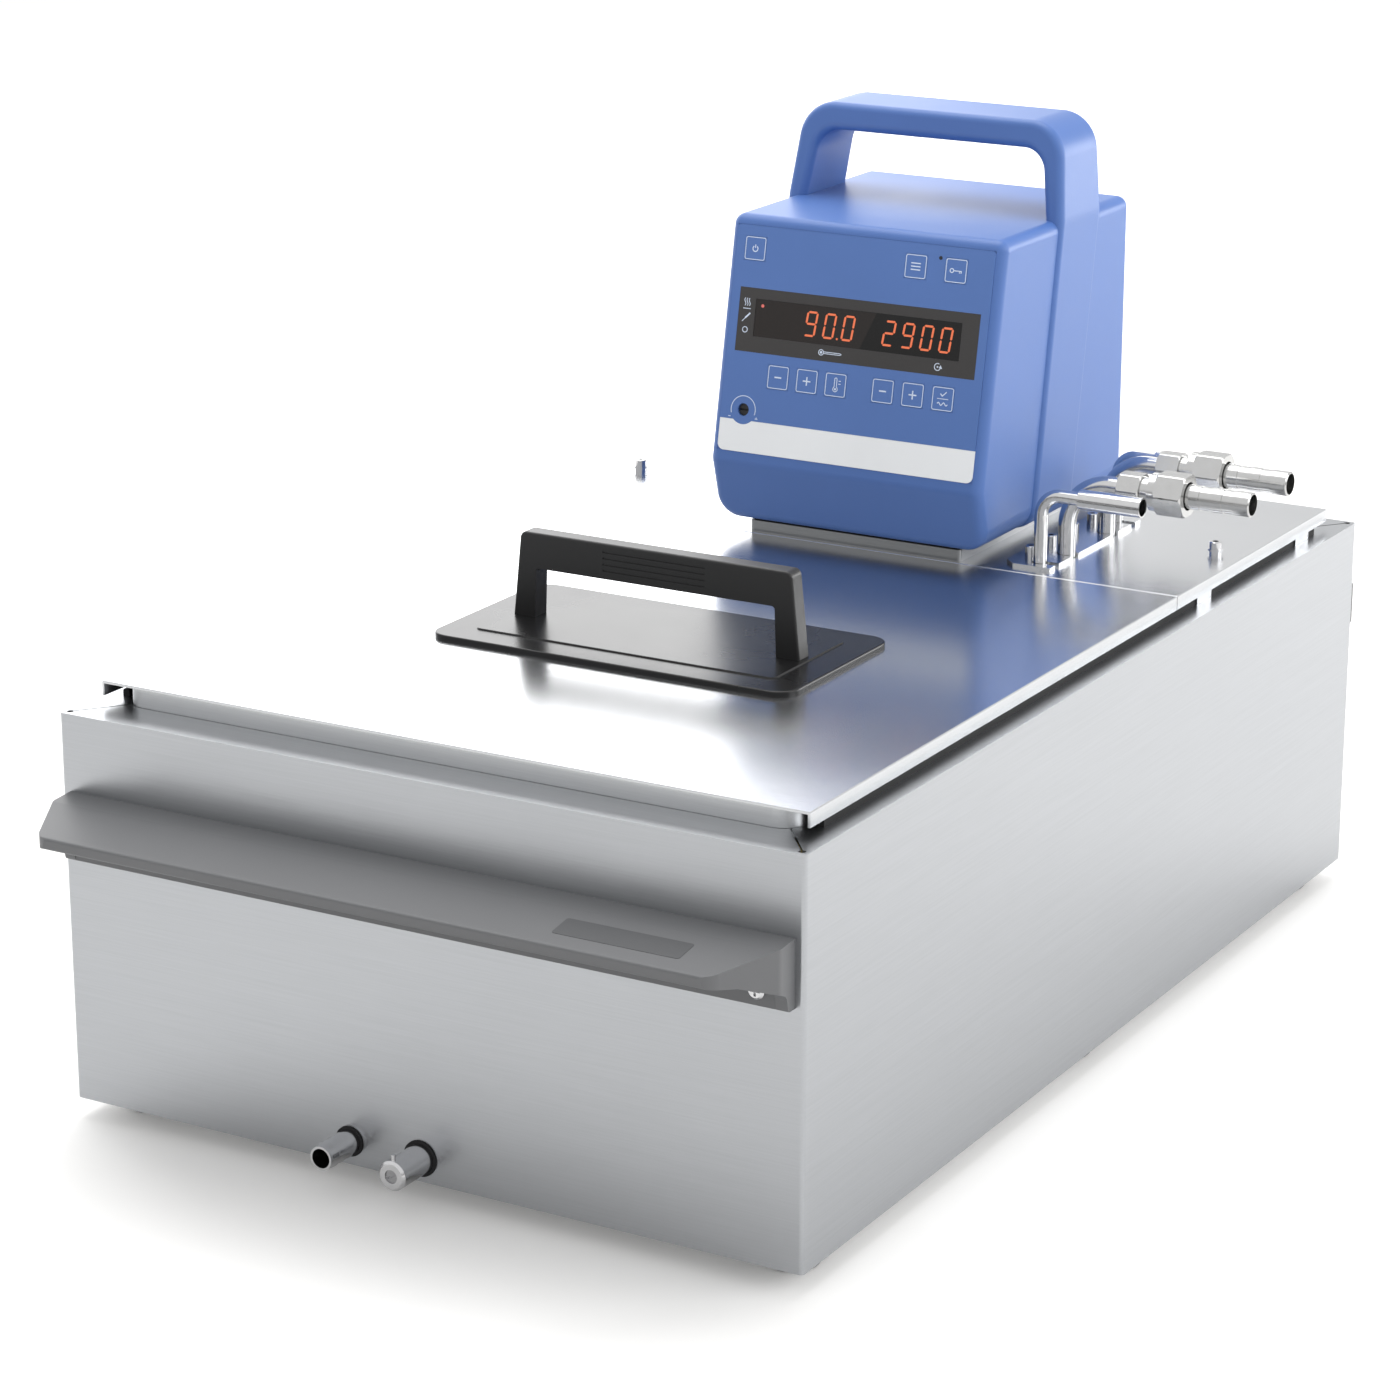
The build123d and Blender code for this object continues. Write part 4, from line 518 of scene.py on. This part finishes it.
LAMP_RED = moulded_plastic("lamp red", screen_colour(236, 120, 112), 0.25, 0.35,
                           grain=0.0004, depth=0.000003)
print("plastics made, such as", BLUE_PLASTIC.name, "and", RUBBER.name)

# %% [markdown]
# ## Display
# The display is a dark filter with bright figures behind it. The figures are lit segments, so
# they give off their own orange red light. The filter's left part is painted lighter than its
# right part, with a slanting border between the two: a painted reflection, laid on by one mask.

# %% Display materials
LIT_COLOUR = screen_colour(250, 126, 82)
LIT_STRENGTH = 0.5
LIT_BASE = 0.5
LIT_ROUGHNESS = 0.4
# The lighter colour is a painted reflection on the filter. The darker one is the filter's own
# colour.
FILTER_REFLECTION_TONE = screen_colour(36, 30, 28)
FILTER_RIGHT = screen_colour(9, 8, 8)
FILTER_ROUGHNESS = 0.16
REFLECTION_BORDER = 0.0052
REFLECTION_SLANT = 0.42


def lit_material():
    material, tree = new_material("lit segments")
    shader = principled(tree, roughness=LIT_ROUGHNESS)
    shader.inputs["Base Color"].default_value = shade(LIT_COLOUR, LIT_BASE)
    shader.inputs["Emission Color"].default_value = LIT_COLOUR
    shader.inputs["Emission Strength"].default_value = LIT_STRENGTH
    return material


def filter_and_reflection_material(middle):
    """Dark glossy plastic with a painted reflection: lighter on one side of a slanting border
    near middle.
    """
    material, tree = new_material("display filter")
    shader = principled(tree, roughness=FILTER_ROUGHNESS)
    place = add_node(tree, "ShaderNodeTexCoord")
    parts = add_node(tree, "ShaderNodeSeparateXYZ")
    link(tree, place.outputs["Object"], parts.inputs[0])
    height = add_node(tree, "ShaderNodeMath", operation="SUBTRACT")
    link(tree, parts.outputs["Z"], height.inputs[0])
    height.inputs[1].default_value = middle.z
    slanted = add_node(tree, "ShaderNodeMath", operation="MULTIPLY_ADD")
    link(tree, height.outputs[0], slanted.inputs[0])
    slanted.inputs[1].default_value = -REFLECTION_SLANT
    link(tree, parts.outputs["X"], slanted.inputs[2])
    side = add_node(tree, "ShaderNodeMath", operation="GREATER_THAN")
    link(tree, slanted.outputs[0], side.inputs[0])
    side.inputs[1].default_value = middle.x + REFLECTION_BORDER
    # Painted reflection: left of the slanting border the filter takes the lighter colour.
    mix = add_node(tree, "ShaderNodeMix", data_type="RGBA")
    mix.inputs["A"].default_value = FILTER_REFLECTION_TONE
    mix.inputs["B"].default_value = FILTER_RIGHT
    link(tree, side.outputs[0], mix.inputs["Factor"])
    link(tree, mix.outputs["Result"], shader.inputs["Base Color"])
    return material


window_low, window_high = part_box("display_window")
LIT_SEGMENTS = lit_material()
FILTER_WITH_REFLECTION = filter_and_reflection_material((window_low + window_high) / 2)
print("display materials", LIT_SEGMENTS.name, "and", FILTER_WITH_REFLECTION.name)

# %% [markdown]
# ## Dress the solids
# Each solid keeps its CAD shape and only gets a finish. A table says which finish belongs to
# which node, so a wrong or forgotten name shows at once in the printed list.

# %% Dress the solids
KEYS = [name for name in nodes if name.startswith("key_")]
FINISHES = {
    CASING_STEEL: ["casing"],
    SHEET_STEEL: ["base_plate"],
    NECK_STEEL: ["neck_frame"],
    TANK_STEEL: ["tub", "pump_housing"],
    LID_STEEL: ["lid_plate", "bridge_plate", "pipe_plate"],
    BRIGHT_STEEL: ["bridge_screws", "handle_screws", "shell_screws", "drain_nozzle",
                   "drain_valve_body", "pump_columns", "float_guide",
                   "temperature_sensors", "motor_bearings"],
    SPINDLE_STEEL: ["drain_spindle"],
    TUBE_STEEL: ["cooling_coil", "pump_pipes"],
    UNION_STEEL: ["pipe_unions", "union_nuts", "hose_nozzles"],
    SHAFT_STEEL: ["rotor_shaft"],
    HEATER_METAL: ["heater_coil"],
    MOTOR_METAL: ["motor_housing"],
    SOCKET_METAL: ["data_socket"],
    BRASS: ["drain_block"],
    BLUE_PLASTIC: ["head_front_shell", "head_rear_shell"],
    BLUE_FOIL: ["fascia_foil"] + KEYS,
    WHITE_STRIP: ["name_strip"],
    WINDOW_FRAME: ["display_window"],
    LIT_SEGMENTS: ["display_digits"],
    GREY_PLASTIC: ["front_handle", "rear_handle"],
    BLACK_COVER: ["cover_plate"],
    BLACK_HANDLE: ["cover_handle"],
    BLACK_PLASTIC: ["mains_inlet", "motor_fan", "pump_impeller", "safety_adjuster"],
    SWITCH_PLASTIC: ["rocker_switch"],
    FLOAT_PLASTIC: ["level_float"],
    RUBBER: ["feet", "neck_seal", "drain_seals", "drain_plug"],
    FOAM: ["insulation"],
    BOARD_GREEN: ["control_board", "power_board"],
}


def dress(node, material):
    solid = nodes[node]
    solid.data.materials.clear()
    solid.data.materials.append(material)


dressed = set()
for material, names in FINISHES.items():
    for name in names:
        dress(name, material)
        dressed.add(name)
print("dressed", len(dressed), "of", len(nodes), "bare", sorted(set(nodes) - dressed))

# %% [markdown]
# ## Drawing thin shapes
# Print, labels and the painted shadow strips are solids too, only very thin. A drawing plane
# says where a surface lies and which way its width and height run. On it, a ribbon follows a
# line at a set width, and a patch fills an outline. Sizes on a plane are written in millimetres,
# as on a drawing.

# %% Planes, ribbons and patches
MM = 0.001
MITRE_LEAST = 0.4


def drawing_plane(origin, across, up):
    """A plane's origin, its two directions and the way it faces."""
    return origin, across, up, across.cross(up)


def spot(plane, point, height):
    """The place of a drawn point that lies a height in front of the plane."""
    origin, across, up, out = plane
    return origin + (across * point[0] + up * point[1] + out * height) * MM


def quarter_turn(way):
    return Vector((-way.y, way.x))


def ribbon_sides(points, width, closed):
    """Points half a width to the left and to the right of a line, with mitred corners."""
    points = [Vector(point) for point in points]
    count = len(points)
    left, right = [], []
    for i, here in enumerate(points):
        ways = []
        if closed or i > 0:
            ways.append((here - points[i - 1]).normalized())
        if closed or i < count - 1:
            ways.append((points[(i + 1) % count] - here).normalized())
        sideways = quarter_turn((ways[0] + ways[-1]).normalized())
        reach = width / 2 / max(MITRE_LEAST, sideways.dot(quarter_turn(ways[0])))
        left.append(here + sideways * reach)
        right.append(here - sideways * reach)
    return left, right


def add_ribbon(mesh, plane, points, width, low, high, closed=False):
    """A flat bar along a line, from one height above the plane to another."""
    left, right = ribbon_sides(points, width, closed)
    rows = [[mesh.verts.new(spot(plane, point, height)) for point in side]
            for side, height in ((left, low), (right, low), (right, high), (left, high))]
    count = len(points)
    for i in range(count if closed else count - 1):
        j = (i + 1) % count
        for a, b in zip(rows, rows[1:] + rows[:1]):
            mesh.faces.new((a[i], a[j], b[j], b[i]))
    if not closed:
        for i in (0, count - 1):
            mesh.faces.new([row[i] for row in rows])


def join_rings(mesh, rings):
    """Close the first and last ring, and join each ring to the next."""
    mesh.faces.new(rings[0])
    mesh.faces.new(rings[-1])
    count = len(rings[0])
    for a, b in zip(rings, rings[1:]):
        for i in range(count):
            j = (i + 1) % count
            mesh.faces.new((a[i], a[j], b[j], b[i]))


def add_patch(mesh, plane, outline, low, high):
    """A flat plate that fills an outline, from one height above the plane to another."""
    join_rings(mesh, [[mesh.verts.new(spot(plane, point, height)) for point in outline]
                      for height in (low, high)])


print("a drawn length of 1 is", MM, "m")

# %% Lines and outlines


def arc(x, y, radius, start, end, steps=20):
    """Points on a round line, from one angle in degrees to another."""
    angles = [math.radians(start + (end - start) * i / steps) for i in range(steps + 1)]
    return [(x + radius * math.cos(a), y + radius * math.sin(a)) for a in angles]


def circle(x, y, radius, steps=24):
    return arc(x, y, radius, 0, 360, steps)[:-1]


def rounded_box(x, y, half_width, half_height, corner, steps=5):
    """The outline of a box with round corners about its middle."""
    points = []
    for turn, (sx, sy) in enumerate(((1, 1), (-1, 1), (-1, -1), (1, -1))):
        points += arc(x + sx * (half_width - corner), y + sy * (half_height - corner), corner,
                      90 * turn, 90 * turn + 90, steps)
    return points


def wave(y, half_length, height, waves, steps=12):
    """Points on a level line that swings up and down."""
    count = steps * waves
    return [(-half_length + 2 * half_length * i / count,
             y + height * math.sin(math.tau * waves * i / count)) for i in range(count + 1)]


def strokes(width, *lines):
    """Open lines that share one width."""
    return [(points, width, False) for points in lines]


def loop(width, points):
    """A closed line."""
    return points, width, True


print("a circle has", len(circle(0, 0, 1)), "points")

# %% Pieces


def finish_piece(name, mesh, material, body):
    """Turn drawn faces into a piece that rides on a body."""
    bmesh.ops.recalc_face_normals(mesh, faces=mesh.faces)
    data = bpy.data.meshes.new(name)
    mesh.to_mesh(data)
    mesh.free()
    piece = bpy.data.objects.new(name, data)
    data.materials.append(material)
    bpy.context.scene.collection.objects.link(piece)
    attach(piece, body)
    return piece


def draw(name, plane, lines, patches, low, high, material, body, slot):
    """One thin piece from lines, given as (points, width, closed), and filled patches."""
    mesh = bmesh.new()
    for points, width, closed in lines:
        add_ribbon(mesh, plane, points, width, low, high, closed)
    for outline in patches:
        add_patch(mesh, plane, outline, low, high)
    return finish_piece(name, mesh, material, body)


# %% [markdown]
# ## Signs on the front panel
# The real panel is a foil that is printed from behind, with a white outline round every key and
# a white sign on it. The panel leans back by 11.1 degrees, so its drawing plane does too. Its
# origin is at the foot of the white strip, in the middle of its width. A sign on a key rides on
# that key and moves in with it when it is pressed.

# %% The leaning panel
FACE_LEAN = math.radians(11.1)
FOIL_FRONT = 0.2
STRIP_BACK = 0.4
KEY_FRONT = 0.3
PRINT_HEIGHT = 0.04
PRINT_SPAN = (FOIL_FRONT, FOIL_FRONT + PRINT_HEIGHT)
strip_low, strip_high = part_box("name_strip")
PANEL = drawing_plane(
    Vector(((strip_low.x + strip_high.x) / 2,
            strip_low.y + FOIL_FRONT * MM * math.cos(FACE_LEAN),
            strip_low.z + STRIP_BACK * MM * math.sin(FACE_LEAN))),
    Vector((1.0, 0.0, 0.0)),
    Vector((0.0, math.sin(FACE_LEAN), math.cos(FACE_LEAN))))
print("panel starts at", [round(v, 4) for v in PANEL[0]])

# %% [markdown]
# Each sign is written about the middle of its key: its lines with their widths, and its filled
# patches. The keys stand in two rows, one under and one over the display.

# %% Outlines and signs of the keys
KEY_ROWS = (34.6, 89.7)
OUTLINE_HALF = 4.85
OUTLINE_CORNER = 0.8
OUTLINE_WIDTH = 0.34
KEY_OUTLINE = loop(OUTLINE_WIDTH,
                   rounded_box(0, 0, OUTLINE_HALF, OUTLINE_HALF, OUTLINE_CORNER))
PLUS_SIGN = (strokes(0.6, [(-1.9, 0), (-0.3, 0)], [(0.3, 0), (1.9, 0)],
                     [(0, -1.9), (0, 1.9)]), [])
MINUS_SIGN = (strokes(0.66, [(-1.7, 0), (1.7, 0)]), [])
POWER_SIGN = (strokes(0.45, arc(0, -0.1, 1.25, 125, 415), [(0, 0.2), (0, 1.75)]), [])
MENU_SIGN = (strokes(0.5, *[[(-2.3, y), (2.3, y)] for y in (-1.4, 0.0, 1.4)]), [])
LOCK_SIGN = ([loop(0.42, circle(-2.0, 0, 0.85))]
             + strokes(0.42, [(-1.12, 0), (2.7, 0)], [(1.7, -0.25), (1.7, -0.95)],
                       [(2.48, -0.25), (2.48, -0.95)]), [])
THERMOMETER_SIGN = (strokes(0.36, arc(0, -1.8, 1.1, 120, 420), [(-0.55, -0.85), (-0.55, 2.6)],
                            arc(0, 2.6, 0.55, 180, 0, 8), [(0.55, 2.6), (0.55, -0.85)],
                            [(1.4, 0.6), (2.5, 0.6)], [(1.4, 1.9), (2.5, 1.9)]),
                    [circle(0, -1.8, 0.5)])
FLOW_SIGN = (strokes(0.45, [(-1.3, 2.2), (-0.3, 1.2), (1.6, 3.1)])
             + strokes(0.3, [(-2.7, 0), (2.7, 0)])
             + strokes(0.42, wave(-2.2, 2.5, 0.6, 2)), [])
KEY_SIGNS = {
    "key_power": POWER_SIGN,
    "key_menu": MENU_SIGN,
    "key_lock": LOCK_SIGN,
    "key_heat_minus": MINUS_SIGN,
    "key_heat_plus": PLUS_SIGN,
    "key_heat_set": THERMOMETER_SIGN,
    "key_pump_minus": MINUS_SIGN,
    "key_pump_plus": PLUS_SIGN,
    "key_pump_set": FLOW_SIGN,
}


def key_plane(name):
    """The panel's plane moved to the middle of one key."""
    low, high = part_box(name)
    origin, across, up, out = PANEL
    row = KEY_ROWS[(low.z + high.z) / 2 > window_high.z]
    foot = Vector(((low.x + high.x) / 2, origin.y, origin.z))
    return drawing_plane(foot + up * row * MM, across, up)


for name, (lines, patches) in KEY_SIGNS.items():
    draw("sign_" + name, key_plane(name), [KEY_OUTLINE] + lines, patches, KEY_FRONT,
         KEY_FRONT + PRINT_HEIGHT, PRINT_WHITE, name, "white_strip")
print("key signs", len(KEY_SIGNS))

# %% [markdown]
# The rest of the print stands still: an arc with end marks round the adjuster's screw, small
# signs beside and under the display, and a dark lamp hole above the key with the lock.

# %% Signs that stand still
ADJUSTER_ARC = arc(-51.8, 18.7, 6.1, -18, 198, 36)
ADJUSTER_MARKS = [[(-59.0, 15.2), (-57.8, 15.2)], [(-45.6, 15.2), (-44.2, 15.2)],
                  [(-44.9, 15.4), (-44.9, 15.9)]]
draw("sign_adjuster", PANEL, strokes(0.36, ADJUSTER_ARC, *ADJUSTER_MARKS), [], *PRINT_SPAN,
     PRINT_WHITE, "bath", "white_strip")

SIGNS_X = -54.9
STEAM_STEPS = 8
STEAM = [[(SIGNS_X + x + 0.35 * math.sin(math.tau * i / STEAM_STEPS), 64.4 + 0.42 * i)
          for i in range(STEAM_STEPS + 1)] for x in (-1.1, 0.0, 1.1)]
STEAM_LINE = [(SIGNS_X - 1.9, 63.2), (SIGNS_X + 1.9, 63.2)]
PEN_TIP = [(SIGNS_X - 1.9, 57.4), (SIGNS_X - 0.4, 59.0)]
PEN = [(SIGNS_X - 0.4, 59.0), (SIGNS_X + 1.9, 61.3)]
ARROW = [[(-14.7, 48.35), (-6.6, 48.35)], [(-14.7, 47.65), (-6.6, 47.65)],
         [(-6.6, 48.35), (-6.1, 48.0), (-6.6, 47.65)]]
DISPLAY_LINES = (strokes(0.34, *STEAM, STEAM_LINE, PEN_TIP) + strokes(0.75, PEN)
                 + [loop(0.36, circle(SIGNS_X, 53.9, 1.2)),
                    loop(0.36, circle(-16.0, 48.0, 1.2))]
                 + strokes(0.32, *ARROW) + strokes(0.36, arc(41.0, 48.0, 1.5, 60, 350)))
DISPLAY_DOTS = [circle(-16.0, 48.0, 0.6), [(42.4, 48.9), (43.3, 47.3), (41.7, 47.5)],
                circle(41.0, 48.0, 0.4)]
draw("sign_display", PANEL, DISPLAY_LINES, DISPLAY_DOTS, *PRINT_SPAN, PRINT_WHITE, "bath",
     "white_strip")

LAMP_HOLE = circle(37.2, 94.5, 0.85)
draw("lamp_hole", PANEL, [], [LAMP_HOLE], *PRINT_SPAN, PRINT_DARK, "bath", "dark_window")
print("fixed lines drawn", 1 + len(ADJUSTER_MARKS) + len(DISPLAY_LINES))

# %% [markdown]
# The display's filter is its own thin sheet of dark plastic in the frame's recess. The lit bars
# show through it, with one small red lamp at its upper left.

# %% Display filter and lamp
FILTER_LOW = -0.1
FILTER_HIGH = -0.05
LAMP_HIGH = 0.05
FILTER_OUTLINE = rounded_box(0, 59.65, 50.55, 8.2, 0.3)
LAMP_OUTLINE = circle(-47.2, 65.0, 0.75)
# The filter's left part carries a painted reflection.
draw("display_lens", PANEL, [], [FILTER_OUTLINE], FILTER_LOW, FILTER_HIGH, FILTER_WITH_REFLECTION,
     "bath", "dark_window")
draw("display_lamp", PANEL, [], [LAMP_OUTLINE], FILTER_HIGH, LAMP_HIGH, LAMP_RED, "bath",
     "digits")
print("display filter thickness", round(FILTER_HIGH - FILTER_LOW, 3), "mm")

# %% [markdown]
# ## Label plates
# The front ledge carries a thin grey plate near its right end, and the back of the casing a
# plate of metal foil for the ratings. Both are bare, have round corners and are glued on. The
# ledge's plane starts where the flat strip along the casing ends, and slopes with its top.

# %% Label plates
LEDGE_FLAT = 11.7
LEDGE_FLAT_DROP = 0.8
LEDGE_SLOPE = math.atan2(4.2, 27.2)
LEDGE_LABEL = rounded_box(106.2, -13.1, half_width=26.8, half_height=5.9, corner=1.2)
LEDGE_LABEL_THICKNESS = 0.12
RATING_X = -92.0
RATING_UP = 45.0
RATING_PLATE = rounded_box(RATING_X, RATING_UP, half_width=36.0, half_height=23.0, corner=2.0)
RATING_BORDER = rounded_box(RATING_X, RATING_UP, half_width=33.5, half_height=20.5, corner=1.2)
RATING_THICKNESS = 0.3
RATING_LINE = 0.5

ledge_low, ledge_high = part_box("front_handle")
LEDGE_PLANE = drawing_plane(
    Vector(((ledge_low.x + ledge_high.x) / 2, ledge_high.y - LEDGE_FLAT * MM,
            ledge_high.z - LEDGE_FLAT_DROP * MM)),
    Vector((1.0, 0.0, 0.0)),
    Vector((0.0, math.cos(LEDGE_SLOPE), math.sin(LEDGE_SLOPE))))
draw("ledge_label", LEDGE_PLANE, [], [LEDGE_LABEL], 0.0, LEDGE_LABEL_THICKNESS, LABEL_GREY,
     "bath", "grey_plastic")

casing_low, casing_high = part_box("casing")
REAR_PLANE = drawing_plane(
    Vector(((casing_low.x + casing_high.x) / 2, casing_high.y, casing_low.z)),
    Vector((-1.0, 0.0, 0.0)), Vector((0.0, 0.0, 1.0)))
draw("rating_plate", REAR_PLANE, [], [RATING_PLATE], 0.0, RATING_THICKNESS, LABEL_SILVER,
     "bath", "bright_steel")
draw("rating_plate_border", REAR_PLANE, [loop(RATING_LINE, RATING_BORDER)], [],
     RATING_THICKNESS, RATING_THICKNESS + PRINT_HEIGHT, PRINT_DARK, "bath", "black_handle")
print("label planes at", [round(v, 4) for v in LEDGE_PLANE[0]],
      [round(v, 4) for v in REAR_PLANE[0]])

# %% [markdown]
# ## Painted shadow strips
# Black strips lie on the casing's edge under the lid's folded sides. They are painted shadow:
# they stand in the deep gap under the lid's sides, which lies in shade, and show there as a dark
# line.

# %% Painted shadow strips
STRIP_PROFILE = [(0.0, 0.0), (3.2, 0.0), (3.2, 2.4), (2.9, 3.0), (2.2, 3.3), (1.0, 3.3),
                 (0.3, 3.0), (0.0, 2.4)]
STRIP_EDGE = 4.0
STRIP_END = 12.0
lid_low, lid_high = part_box("lid_plate")
rear_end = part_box("bridge_plate")[1].y
strip_length = (rear_end - lid_low.y) / MM - 2 * STRIP_END


def lay_shadow_strip(name, side):
    """A black strip of painted shadow along Y, whose profile runs outwards from a line inside
    the lid's edge.
    """
    edge = lid_high.x if side > 0 else lid_low.x
    plane = drawing_plane(
        Vector((edge - side * STRIP_EDGE * MM, rear_end - STRIP_END * MM, casing_high.z)),
        Vector((side, 0.0, 0.0)), Vector((0.0, 0.0, 1.0)))
    reach = (0.0, strip_length) if side > 0 else (-strip_length, 0.0)
    mesh = bmesh.new()
    add_patch(mesh, plane, STRIP_PROFILE, *reach)
    return finish_piece(name, mesh, RUBBER, "bath")


# Painted shadow on both sides: a dark strip where the gap under the lid lies in shade.
lay_shadow_strip("shadow_strip_left", -1)
lay_shadow_strip("shadow_strip_right", 1)
print("painted shadow strips are", round(strip_length, 1), "mm long")

# %% [markdown]
# ## Screws of the base plate
# The base plate closes the casing from below and is held by small pan-head screws round its
# edge, each with a round recess for the driver.

# %% Base plate screws
SCREW_PROFILE = [(1.1, 0.7), (1.3, 1.6), (1.9, 1.6), (2.6, 1.2), (3.0, 0.5), (3.0, 0.0)]
SCREW_SIDES = 20
SCREW_INSET = 8.0
SIDE_SCREWS = (-0.72, -0.26, 0.26, 0.72)
END_SCREWS = (-0.5, 0.5)


def screw_places(half):
    """Places round a plate's edge, from its middle, along the sides and then the ends."""
    places = [(sx * half.x, half.y * part) for sx in (-1, 1) for part in SIDE_SCREWS]
    return places + [(half.x * part, sy * half.y) for sy in (-1, 1) for part in END_SCREWS]


def base_screws():
    mesh = bmesh.new()
    low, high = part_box("base_plate")
    middle = (low + high) / 2
    half = (high - low) / 2 - Vector((SCREW_INSET, SCREW_INSET, 0.0)) * MM
    angles = [math.tau * i / SCREW_SIDES for i in range(SCREW_SIDES)]
    places = screw_places(half)
    for x, y in places:
        join_rings(mesh, [[mesh.verts.new((middle.x + x + radius * MM * math.cos(a),
                                           middle.y + y + radius * MM * math.sin(a),
                                           low.z - drop * MM)) for a in angles]
                          for radius, drop in SCREW_PROFILE])
    finish_piece("base_screws", mesh, BRIGHT_STEEL, "bath")
    return len(places)


print("base screws", base_screws())
